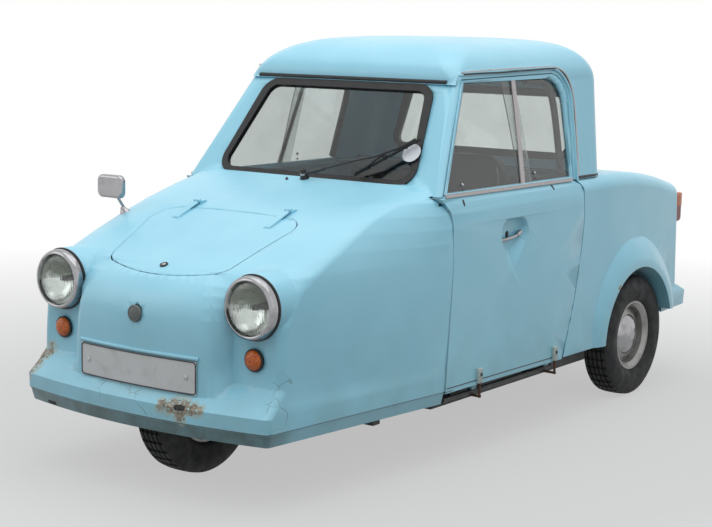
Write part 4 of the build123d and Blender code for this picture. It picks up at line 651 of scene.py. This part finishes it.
def make_headlamps():
    """Deep chrome bezels on rubber gaskets, reflectors with a painted dark reflection over their upper half, a
    bulb, and domed lenses.
    """
    # Columns: name, section, sides, closed at its start, finish, nodes that it stands for
    rows = (
        ("bezel", bezel_section, 72, False, "chrome", ("headlamp_bowls",)),
        ("gasket", gasket_section, 72, False, "rubber", ()),
        ("reflector", reflector_section, 56, False, "reflector", ()),
        ("bulb", bulb_section, 24, False, "dark_glass", ()),
        ("glass", lens_section, 72, True, "headlamp_glass", ("headlamp_lenses",)),
    )
    for side, word in ((-1, "right"), (1, "left")):
        place = (side * headlamp_x, wing_face_y, headlamp_z)
        for name, section, sides, closed, finish_name, stands_for in rows:
            part = put(turned(section, sides, closed), place, to_nose)
            complete(part, "headlamp_" + name + "_" + word, finish_name, stands_for=stands_for)


# Sections of the indicators and the nose cap, as (height, radius)
indicator_base_section = [(-2, 37.5), (4, 38), (6.5, 36.5), (6.5, 33.5), (3, 33)]
indicator_dome_section = [
    (2, 33.2), (5, 33.2), (9.5, 32), (14, 28.5), (18, 22.5), (20.7, 14.5), (21.8, 7), (22, 0),
]
nose_cap_section = [(-6, 28.5), (2, 28.5), (4.5, 26.5), (5, 24), (3.8, 22.5), (5, 20), (7, 12), (8, 0)]


def make_indicators():
    """Amber domes in black rubber bases, and the round grey cap in the middle of the nose."""
    for side, word in ((-1, "right"), (1, "left")):
        place = (side * headlamp_x, wing_face_y + 1, indicator_z)
        base = put(turned(indicator_base_section, 48), place, to_nose)
        dome = put(turned(indicator_dome_section, 48, closed=True), place, to_nose)
        complete(base, "indicator_base_" + word, "rubber", stands_for=("front_indicators",))
        complete(dome, "indicator_dome_" + word, "amber_lens")
    cap = put(turned(nose_cap_section, 48), (0, nose_cap_y, nose_cap_z), to_nose)
    complete(cap, "nose_cap_face", "grey_plastic", stands_for=("nose_cap",))


# The plates' outline: half the width and half the height, their corners cut by a few millimetres
plate_half = 257.5
plate_straight = 250
plate_tall = 53.0
plate_corner = 6
# How far the front plate bends back, for each square millimetre of the distance from its middle
plate_bow = 16.0 / 260 ** 2


def plate_outline(face_y, bow, middle_z):
    """Points round a plate's edge."""
    side = plate_tall - plate_corner
    rows = [(x, -plate_tall) for x in range(-plate_straight, plate_straight + 1, 50)]
    rows += [(plate_half, -side), (plate_half, side)]
    rows += [(x, plate_tall) for x in range(plate_straight, -plate_straight - 1, -50)]
    rows += [(-plate_half, side), (-plate_half, -side)]
    return [(x, face_y + bow * x * x, middle_z + z) for x, z in rows]


def nose_line(x, z, proud):
    """A point over the nose's bowed face."""
    spot = met("front_body", (x, -1600, z), (0, 1, 0))[0]
    return (x, spot.y - proud, z)


def make_plates():
    """Thin dark borders round both blank plates, their screw caps, and the slim ledge over the front one."""
    front = bent_rod(plate_outline(front_plate_y, plate_bow, front_plate_z), 2.2, closed=True)
    rear = bent_rod(plate_outline(rear_plate_y, 0, rear_plate_z), 2.2, closed=True)
    complete(join([front, rear]), "plate_borders", "dark_enamel")
    caps = []
    for x in (-220, 220):
        cap = turned([(-1, 8), (2, 8), (3.4, 6), (4, 0)], 24)
        caps.append(put(cap, (x, front_plate_y + plate_bow * x * x, front_plate_z), to_nose))
    complete(join(caps), "plate_screw_caps", "plate_metal")
    ledge = bent_rod([nose_line(x, plate_ledge_z, 0.5) for x in range(-266, 267, 38)], 7, smooth=True)
    complete(ledge, "plate_ledge", "body_paint")


def make_bonnet_fittings():
    """The lid's small chrome lock, and the washer jet on the scuttle."""
    # Columns: name, section, sides, finish
    rows = (
        ("bonnet_lock_ring", [(-2, 15), (2, 15), (4, 13.5), (4, 11), (1.5, 10), (1.5, 0)], 36, "dark_enamel"),
        ("bonnet_lock_barrel", [(1, 8), (4, 8), (5.5, 6), (5.8, 0)], 32, "chrome"),
    )
    spot, normal = down_on("bonnet_lid", 4, -1312)
    for name, section, sides, finish_name in rows:
        complete(put(turned(section, sides), spot, facing(normal)), name, finish_name, "bonnet")
    spot, normal = down_on("front_body", -52, -588)
    jet = turned([(-2, 6), (1, 6), (3, 4.5), (7, 4), (8, 2.5), (8, 0)], 20)
    complete(put(jet, spot, facing(normal)), "washer_jet", "rubber")


def make_wiper():
    """The single wiper: a black wedge on the scuttle, a chrome knob, a thin sprung arm and a long blade."""
    foot = down_on("front_body", 14, -566)[0]
    post = turned([(-6, 19), (4, 17), (14, 13), (30, 11), (36, 9), (36, 0)], 32)
    put(post, foot, facing((0, -0.35, 1)))
    knob = turned([(-3, 12), (6, 12), (10, 9), (11.5, 4), (11.5, 0)], 32)
    put(knob, (13, -572, 1000), facing((0.1, -0.75, 0.65)))
    head = bent_rod([(13, -576, 1002), (60, -566, 1013), (100, -555, 1027)], 6.5)
    arm = bent_rod([(96, -556, 1026), (190, -528, 1055), (285, -505, 1079), (318, -494, 1092)], 3.6)
    spine = bent_rod([(222, -538, 1018), (262, -524, 1040), (318, -492, 1092), (378, -473, 1116),
                      (428, -454, 1148)], 4.4)
    blade = bent_rod([(214, -530, 1008), (325, -482, 1078), (437, -436, 1147)], 5.2)
    claw_places = ((262, -513, 1040), (318, -488, 1078), (388, -458, 1118))
    claws = [block((x - 7, y - 9, z - 8), (x + 7, y + 5, z + 8), 2) for x, y, z in claw_places]
    complete(post, "wiper_post", "rubber")
    complete(knob, "wiper_knob", "chrome", stands_for=("wiper",))
    complete(join([head, arm]), "wiper_arm", "dark_enamel")
    complete(join([spine, blade, *claws]), "wiper_blade", "rubber")


def make_mirror():
    """The wing mirror on the right wing: a chrome cone foot, a bent stem and a soft cornered head."""
    spot, normal = down_on("front_body", -480, -1000)
    foot = turned([(-8, 21), (0, 20), (6, 16), (14, 11), (22, 8.5), (24, 0)], 36)
    put(foot, spot, facing(normal))
    stem_path = [(spot.x, spot.y, spot.z + 12), (-490, -1024, 905), (-500, -1046, 952)]
    stem = bent_rod(stem_path, 5.2, smooth=True)
    head = block((-562, -1062, 910), (-438, -1040, 994))
    shape(head)
    pick(head, "EDGE", lambda e: abs(e.verts[0].co.y - e.verts[1].co.y) > 0.01)
    bpy.ops.mesh.bevel(offset=0.024, segments=7, affect="EDGES")
    pick(head, "FACE", lambda f: f.normal.y < -0.9)
    bpy.ops.mesh.bevel(offset=0.010, segments=4, affect="EDGES")
    pick(head, "FACE", lambda f: f.normal.y > 0.9)
    bpy.ops.mesh.inset(thickness=0.005)
    bpy.ops.transform.translate(value=(0, -0.003, 0))
    begin()
    complete(join([foot, stem]), "mirror_stem", "chrome", stands_for=("wing_mirror",))
    complete(head, "mirror_head", "chrome")


def make_screen_disc():
    """A blank pale disc in its holder, inside the windscreen's low left corner."""
    disc = turned([(0, 37), (1.2, 37), (1.2, 34.5), (0.8, 34), (0.8, 0)], 48)
    put(disc, (410, -452, 1096), facing((0, -0.829, 0.559)))
    complete(disc, "screen_disc", "paper_white")


def handle_parts():
    """The left door's boss, and its lever with a thick tip and the ring round its spindle."""
    out = side_of("door_left", -150, 782)[0].x
    spindle = (out - 4, handle_y, handle_z)
    boss = put(turned([(-26, 14), (0, 14), (4, 12), (4, 7), (7, 6), (7, 0)], 32), spindle, to_left)
    ring = put(turned([(-26, 17), (-2, 19), (1, 18), (2, 16), (0, 14)], 36), spindle, to_left)
    lever = bent_rod([(out + 3, -172, 766), (out + 8, -150, 768), (out + 11, -100, 770), (out + 11, -50, 775),
                      (out + 10, -22, 782), (out + 8, -14, 786)], 7, smooth=True)
    tip = bent_rod([(out + 10, -36, 778), (out + 11, -18, 785), (out + 9, -10, 788)], 9.5, smooth=True)
    return [lever, tip, ring], [boss]


def hook_parts():
    """The left door's two pale patches with a dark bolt in each, over its hooks."""
    bare, bolts = [], []
    for y in (-333, 200):
        face = side_of("door_left", y, 296)[0]
        bare.append(block((face.x - 3, y - 14, 266), (face.x + 12.5, y + 14, 322), 4, 3))
        bolt = turned([(0, 7), (3, 7), (4.5, 5), (5, 0)], 6)
        bolts.append(put(bolt, (face.x + 12, y, 300), to_left))
    return bare, bolts


def catch_parts():
    """The left door's two window catches, each with a small black button below it."""
    knobs, buttons = [], []
    for y, z in ((-373, 989), (140, 998)):
        pane = side_of("door_glass", y, z)[0]
        knob = turned([(-1, 6), (5, 6), (8, 4.5), (9, 0)], 20)
        knobs.append(put(knob, (pane.x - 2, y, z), to_left))
        button = turned([(0, 5), (2.5, 4.5), (3, 0)], 16)
        buttons.append(put(button, (pane.x + 0.3, y + 2, z - 22), to_left))
    return knobs, buttons


def drain_parts():
    """The left door's drain notches, under the window channel, as thin dark ovals of painted shade."""
    notch_shades = []
    for y, z in ((-404, 928), (229, 938)):
        face, normal = side_of("door_left", y, z)
        notch = turned([(-3, 11), (0.6, 10), (1.2, 5), (1.2, 0)], 20)
        notch_shades.append(put(notch, (face.x, y, z), facing(normal), (0.55, 1.25, 1)))
    return notch_shades


def make_door_fittings():
    """Handles with their lever and boss, hook bolts, window catches and the painted shade of the drain
    notches, for both doors.
    """
    for side, word in ((1, "left"), (-1, "right")):
        levers, bosses = handle_parts()
        bare, bolts = hook_parts()
        knobs, buttons = catch_parts()
        notch_shades = drain_parts()
        foot = bent_rod([side_of("door_left", y, door_foot_z)[0] for y in range(-536, 262, 57)], 1.8)
        # Columns: name, parts, finish, nodes that it stands for
        groups = (
            ("handle_lever", levers, "chrome", ("door_handles",)),
            ("handle_boss", bosses, "dark_enamel", ()),
            ("hook_patches", bare, "pale_sealant", ()),
            ("hook_bolts", bolts, "dark_enamel", ()),
            ("door_foot_line", [foot], "dark_enamel", ()),
            ("window_catches", knobs, "chrome", ()),
            ("catch_buttons", buttons, "rubber", ()),
            # Painted shade: thin dark ovals stand for the drain notches
            ("drain_notch_shades", notch_shades, "rubber", ()),
        )
        for name, parts, finish_name, stands_for in groups:
            piece = join(parts)
            if side < 0:
                turned_over(piece)
            complete(piece, name + "_" + word, finish_name, stands_for=stands_for)


# The gutter over the left door, as (y, z), from the screen post along the roof and down behind the window
gutter_path = [
    (-236, 1381), (-200, 1383), (-100, 1386), (0, 1388), (100, 1391), (200, 1393), (300, 1395), (380, 1396),
    (425, 1390), (460, 1372), (484, 1344), (496, 1310), (500, 1270), (492, 1200), (480, 1130), (468, 1060),
    (452, 966),
]
# The black seal inside the rear edge of the left side window, as (y, z)
window_band_path = [
    (230, 1343), (330, 1340), (375, 1326), (402, 1296), (412, 1255), (408, 1180), (398, 1080), (388, 975),
]
window_middle = Vector((60, 1150))
groove_shift = 9
pane_rear_y = 385
screen_head_z = 1345.5


def gutter_line(inwards):
    """Points on the left side of the roof along the gutter, moved towards the middle of the window."""
    rows = []
    for y, z in gutter_path:
        shift = (window_middle - Vector((y, z))).normalized() * inwards
        face = side_of("roof_shell", y + shift.x, z + shift.y)[0]
        rows.append((face.x + 1.5, y + shift.x, z + shift.y))
    return rows


def quarter_foot():
    """Points along the foot of the roof's left rear quarter."""
    rows = []
    for y in (452, 500, 560, 610, 640):
        face = side_of("roof_shell", y, 972)[0]
        rows.append((face.x + 1, y, 961 + (y - 452) * 0.004))
    return rows


def window_band():
    """Points along the seal, a little inside the left pane."""
    rows = []
    for y, z in window_band_path:
        pane = side_of("door_glass", min(y, pane_rear_y), z - 8)[0]
        rows.append((pane.x - 22, y - 18, z))
    return rows


def make_gutters():
    """A bead over each door and a dark line of painted shade in its groove, with the seals round the panes and
    over the screen.
    """
    # Columns: name, points on the left side, radius, finish
    lines = (
        ("gutter_bead", gutter_line(0), 4.0, "aluminium_trim"),
        # Painted shade: a dark line stands for the gutter's groove
        ("gutter_groove_shade", gutter_line(groove_shift), 3.0, "rubber"),
        ("quarter_seal", quarter_foot(), 5.5, "rubber"),
        ("window_band", window_band(), 14, "rubber"),
    )
    for side, word in ((1, "left"), (-1, "right")):
        for name, points, radius, finish_name in lines:
            path = [(side * x, y, z) for x, y, z in points]
            complete(bent_rod(path, radius, smooth=True), name + "_" + word, finish_name)
    lip = []
    for x in range(-440, 441, 44):
        spot = met("roof_shell", (x, -900, 1352), (0, 1, 0))[0]
        lip.append((x, spot.y - 0.5, screen_head_z))
    complete(bent_rod(lip, 7.5, smooth=True), "roof_lip_seal", "rubber")


# Half sections of the tyre, as (height from its middle, radius): its wall, and the tread with its grooves
tyre_wall = [(-44, 147), (-50, 149), (-58, 160), (-65, 186), (-66, 205), (-63, 226), (-58, 240), (-52, 250)]
tyre_tread = [
    (-47, 253), (-34, 255), (-33, 249), (-29, 249), (-28, 255.4), (-13, 256), (-12, 250), (-8, 250),
    (-7, 256),
]
tyre_bead = [(38, 140), (-38, 140), (-44, 147)]
hub_cap_section = [
    (16, 87), (20, 87.5), (23, 86), (26, 82), (30, 78), (36, 66), (41, 50), (44, 34), (45, 30), (46.5, 28),
    (47, 20), (47.5, 0),
]
rim_edge_section = [(44, 141), (48, 143), (49, 146), (47, 148), (44, 147)]
tyre_sides = 120
# The cross cuts: the least radius of a face that is cut, and the depth, in metres
cut_radius = 0.2535
cut_depth = 0.004


def across_tread(face):
    """Whether a face of the tread lies where one of the cross cuts goes: every third side of the tyre."""
    middle = face.calc_center_median()
    side = math.degrees(math.atan2(middle.y, middle.x)) / (360 / tyre_sides)
    return math.hypot(middle.x, middle.y) > cut_radius and round(side + 0.5) % 3 == 0


def make_wheels():
    """Tyres with ribs and cross cuts, domed chrome hub caps and a bright rim edge."""
    half = tyre_wall + tyre_tread
    profile = half + [(-height, radius) for height, radius in reversed(half)] + tyre_bead
    # Columns: name, middle, body that carries it, node that the tyre stands for, the way that it faces
    rows = (
        ("front", (0, -1136, wheel_z), "front_wheel", "front_tyre", to_left),
        ("rear_left", (584, 929, wheel_z), "rear_wheel_left", "rear_tyre_left", to_left),
        ("rear_right", (-584, 929, wheel_z), "rear_wheel_right", "rear_tyre_right", to_right),
    )
    for word, place, body, node, turn in rows:
        tyre = turned(profile, tyre_sides)
        shape(tyre)
        pick(tyre, "FACE", across_tread)
        bpy.ops.mesh.extrude_region_shrink_fatten(TRANSFORM_OT_shrink_fatten={"value": -cut_depth})
        put(tyre, place, turn)
        complete(tyre, "tyre_" + word, "tyre_rubber", body, angle=40, stands_for=(node,))
        cap = put(turned(hub_cap_section, 64), place, turn)
        complete(cap, "hub_cap_" + word, "chrome", body)
        edge = put(turned(rim_edge_section, 72), place, turn)
        complete(edge, "rim_edge_" + word, "rim_paint", body)


def blow_up(pad, most):
    """Fills a pad like foam in a sewn cover, with no point moved further than the given length in metres."""
    rest = [v.co.copy() for v in pad.data.vertices]
    choose(pad)
    cloth = pad.modifiers.new("Cloth", "CLOTH")
    cloth.settings.use_pressure = True
    cloth.settings.uniform_pressure_force = 4
    cloth.settings.effector_weights.gravity = 0
    for frame_number in range(1, 21):
        bpy.context.scene.frame_set(frame_number)
    bpy.ops.object.modifier_apply(modifier=cloth.name)
    for vertex, start in zip(pad.data.vertices, rest):
        moved = vertex.co - start
        if moved.length > most:
            vertex.co = start + moved.normalized() * most
    bpy.context.scene.frame_set(1)


# The piping round the backrest, as (across, up its slope), and how far it stands out towards the nose
piping_path = [
    (-214, 20), (-216, 200), (-214, 420), (-196, 492), (-150, 526), (-60, 536), (60, 536), (150, 526),
    (196, 492), (214, 420), (216, 200), (214, 20),
]
piping_out = 34


def on_back(x, up, out):
    """A point on the backrest: across, up its slope and out from its middle plane towards the nose."""
    lean = math.radians(seat_lean_deg)
    foot_x, foot_y, foot_z = seat_foot
    return (foot_x + x, foot_y + up * math.sin(lean) - out * math.cos(lean),
            foot_z + up * math.cos(lean) - out * math.sin(lean))


def make_seat():
    """The seat's two pads, blown up as foam in a sewn cover, with a pale piping round the backrest."""
    for node, most in (("seat_cushion", 0.010), ("seat_backrest", 0.008)):
        low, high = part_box(node)
        pad = copied(cad[node])
        merge(pad, weld)
        shape(pad)
        bpy.ops.mesh.select_all(action="SELECT")
        bpy.ops.transform.resize(value=(0.975, 0.955, 0.98), center_override=(low + high) / 2)
        begin()
        apply_modifier(pad, "REMESH", mode="VOXEL", voxel_size=0.009)
        blow_up(pad, most)
        apply_modifier(pad, "SUBSURF", levels=1)
        complete(pad, node + "_cover", "seat_cover", angle=60, stands_for=(node,))
    piping = bent_rod([on_back(x, up, piping_out) for x, up in piping_path], 4.2, smooth=True)
    complete(piping, "seat_piping", "pale_piping")


def make_tail():
    """The amber upper half of each tail lamp, over the dark red lens."""
    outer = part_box("tail_lamps")[1].x / mm
    for side, word in ((-1, "right"), (1, "left")):
        lens = block((outer - 66, 1362, 762), (outer + 0.5, 1431, 828), 9, 3)
        if side < 0:
            turned_over(lens)
        complete(lens, "tail_amber_" + word, "amber_lens")


def make_skirt_slot_shade():
    """A thin dark block of painted shade that stands for the slot in the skirt's right front corner."""
    spot, normal = met("front_skirt", (-408, -1700, 232), (0, 1, 0))
    slot = put(block((-25, -6, -4), (25, 6, 0.8), 0.7), spot, facing(normal))
    complete(slot, "skirt_slot_shade", "tyre_rubber")


def make_tiller_grips():
    """The two ribbed rubber grips on the tiller's cross bar."""
    grips = []
    bar = Vector(tiller_foot) + Vector(tiller_lean) * tiller_length
    ribs = [(height, 16.4 if step % 2 else 17.6) for step, height in enumerate(range(0, 111, 6))]
    for side, turn in ((-1, to_right), (1, to_left)):
        grip = turned([(0, 12), *ribs, (110, 12)], 32)
        grips.append(put(grip, bar + Vector((side * 70, 0, 0)), turn))
    complete(join(grips), "tiller_grips", "rubber", "tiller_bar")


make_panels()
make_headlamps()
make_indicators()
make_plates()
make_bonnet_fittings()
make_wiper()
make_mirror()
make_screen_disc()
make_door_fittings()
make_gutters()
make_wheels()
make_seat()
make_tail()
make_skirt_slot_shade()
make_tiller_grips()


# Stage, light and camera

def looked_at(tree):
    """1 for what is seen straight, in a reflection or through glass, and 0 for what only gives light."""
    rays = add_node(tree, "LightPath")
    either = add_node(tree, "Math", {0: rays.outputs["Is Camera Ray"], 1: rays.outputs["Is Glossy Ray"]},
                      operation="MAXIMUM").outputs[0]
    return add_node(tree, "Math", {0: either, 1: rays.outputs["Is Transmission Ray"]},
                    operation="MAXIMUM").outputs[0]


def make_floor():
    """A pale matt floor that fades into white a few metres out, and keeps the car's shadow."""
    begin()
    bpy.ops.mesh.primitive_plane_add(size=80)
    floor = bpy.context.object
    floor.name = "studio_floor"
    material, tree, shader, place = new_material("matt_floor", roughness=0.95)
    shader.inputs["Base Color"].default_value = tone("8d8e8c")
    away = add_node(tree, "VectorMath", {0: place}, operation="LENGTH").outputs["Value"]
    fade = add_node(tree, "MapRange", {"Value": away, "From Min": 1.6, "From Max": 5.0, "To Min": 0.5})
    share = add_node(tree, "Math", {0: fade.outputs["Result"], 1: looked_at(tree)},
                     operation="MULTIPLY").outputs[0]
    white = add_node(tree, "Emission", {"Color": (1, 1, 1, 1), "Strength": 1.0})
    mix = add_node(tree, "MixShader", {0: share, 1: shader.outputs[0], 2: white.outputs[0]})
    tree.links.new(mix.outputs[0], tree.nodes["Material Output"].inputs["Surface"])
    floor.data.materials.append(material)


def make_sky():
    """A soft sky that is brightest overhead, and is plain white where it is looked at."""
    world = bpy.data.worlds.new("studio_sky")
    bpy.context.scene.world = world
    world.use_nodes = True
    tree = world.node_tree
    sky = tree.nodes["Background"]
    direction = add_node(tree, "TexCoord").outputs["Generated"]
    up = add_node(tree, "SeparateXYZ", {0: direction}).outputs["Z"]
    strength = add_node(tree, "MapRange", {"Value": up, "From Min": 0.0, "From Max": 0.95, "To Min": 0.1,
                                           "To Max": 1.32}).outputs["Result"]
    sky.inputs["Color"].default_value = (0.93, 0.97, 1.0, 1.0)
    tree.links.new(strength, sky.inputs["Strength"])
    white = add_node(tree, "Background", {"Color": (1, 1, 1, 1), "Strength": 1.0})
    mix = add_node(tree, "MixShader", {0: looked_at(tree), 1: sky.outputs[0], 2: white.outputs[0]})
    tree.links.new(mix.outputs[0], tree.nodes["World Output"].inputs["Surface"])


def make_lamps():
    """A broad lamp above, one at the car's right front, and a faint one on the side that the camera sees."""
    # Columns: name, place, what it points at, width, power
    lamps = (
        ("lamp_above", (0.5, -0.5, 5.0), (0.0, 0.0, 0.5), 5.0, 78.0),
        ("lamp_right_front", (-4.5, -5.0, 3.4), (0.0, -0.4, 0.6), 3.5, 36.0),
        ("lamp_left_side", (6.0, -1.5, 3.0), (0.0, 0.0, 0.6), 3.5, 8.0),
    )
    for name, place, target, size, power in lamps:
        data = bpy.data.lights.new(name, "AREA")
        data.size = size
        data.energy = power
        lamp = bpy.data.objects.new(name, data)
        bpy.context.scene.collection.objects.link(lamp)
        lamp.location = place
        lamp.rotation_euler = (Vector(target) - Vector(place)).to_track_quat("-Z", "Y").to_euler()


# The photographer's camera: its place in metres, how it is turned in degrees, and its lens in millimetres
camera_place = (3.67771, -5.26793, 1.57129)
camera_yaw = 36.053
camera_pitch = 8.599
camera_roll = 1.018
camera_sensor = 36.0
camera_lens = 82.0


def make_camera():
    """The camera where the photographer stood."""
    yaw, pitch, roll = (math.radians(angle) for angle in (camera_yaw, camera_pitch, camera_roll))
    ahead = Vector((-math.sin(yaw) * math.cos(pitch), math.cos(yaw) * math.cos(pitch), -math.sin(pitch)))
    right = ahead.cross(Vector((0, 0, 1))).normalized()
    above = right.cross(ahead)
    across = right * math.cos(roll) + above * math.sin(roll)
    up = above * math.cos(roll) - right * math.sin(roll)
    data = bpy.data.cameras.new("photo_camera")
    data.sensor_width = camera_sensor
    data.lens = camera_lens
    data.clip_end = 200.0
    camera = bpy.data.objects.new("photo_camera", data)
    bpy.context.scene.collection.objects.link(camera)
    turn = Matrix((across, up, -ahead)).transposed().to_4x4()
    camera.matrix_world = Matrix.Translation(camera_place) @ turn
    bpy.context.scene.camera = camera


make_floor()
make_sky()
make_lamps()
make_camera()
bpy.context.scene.view_settings.view_transform = "Standard"
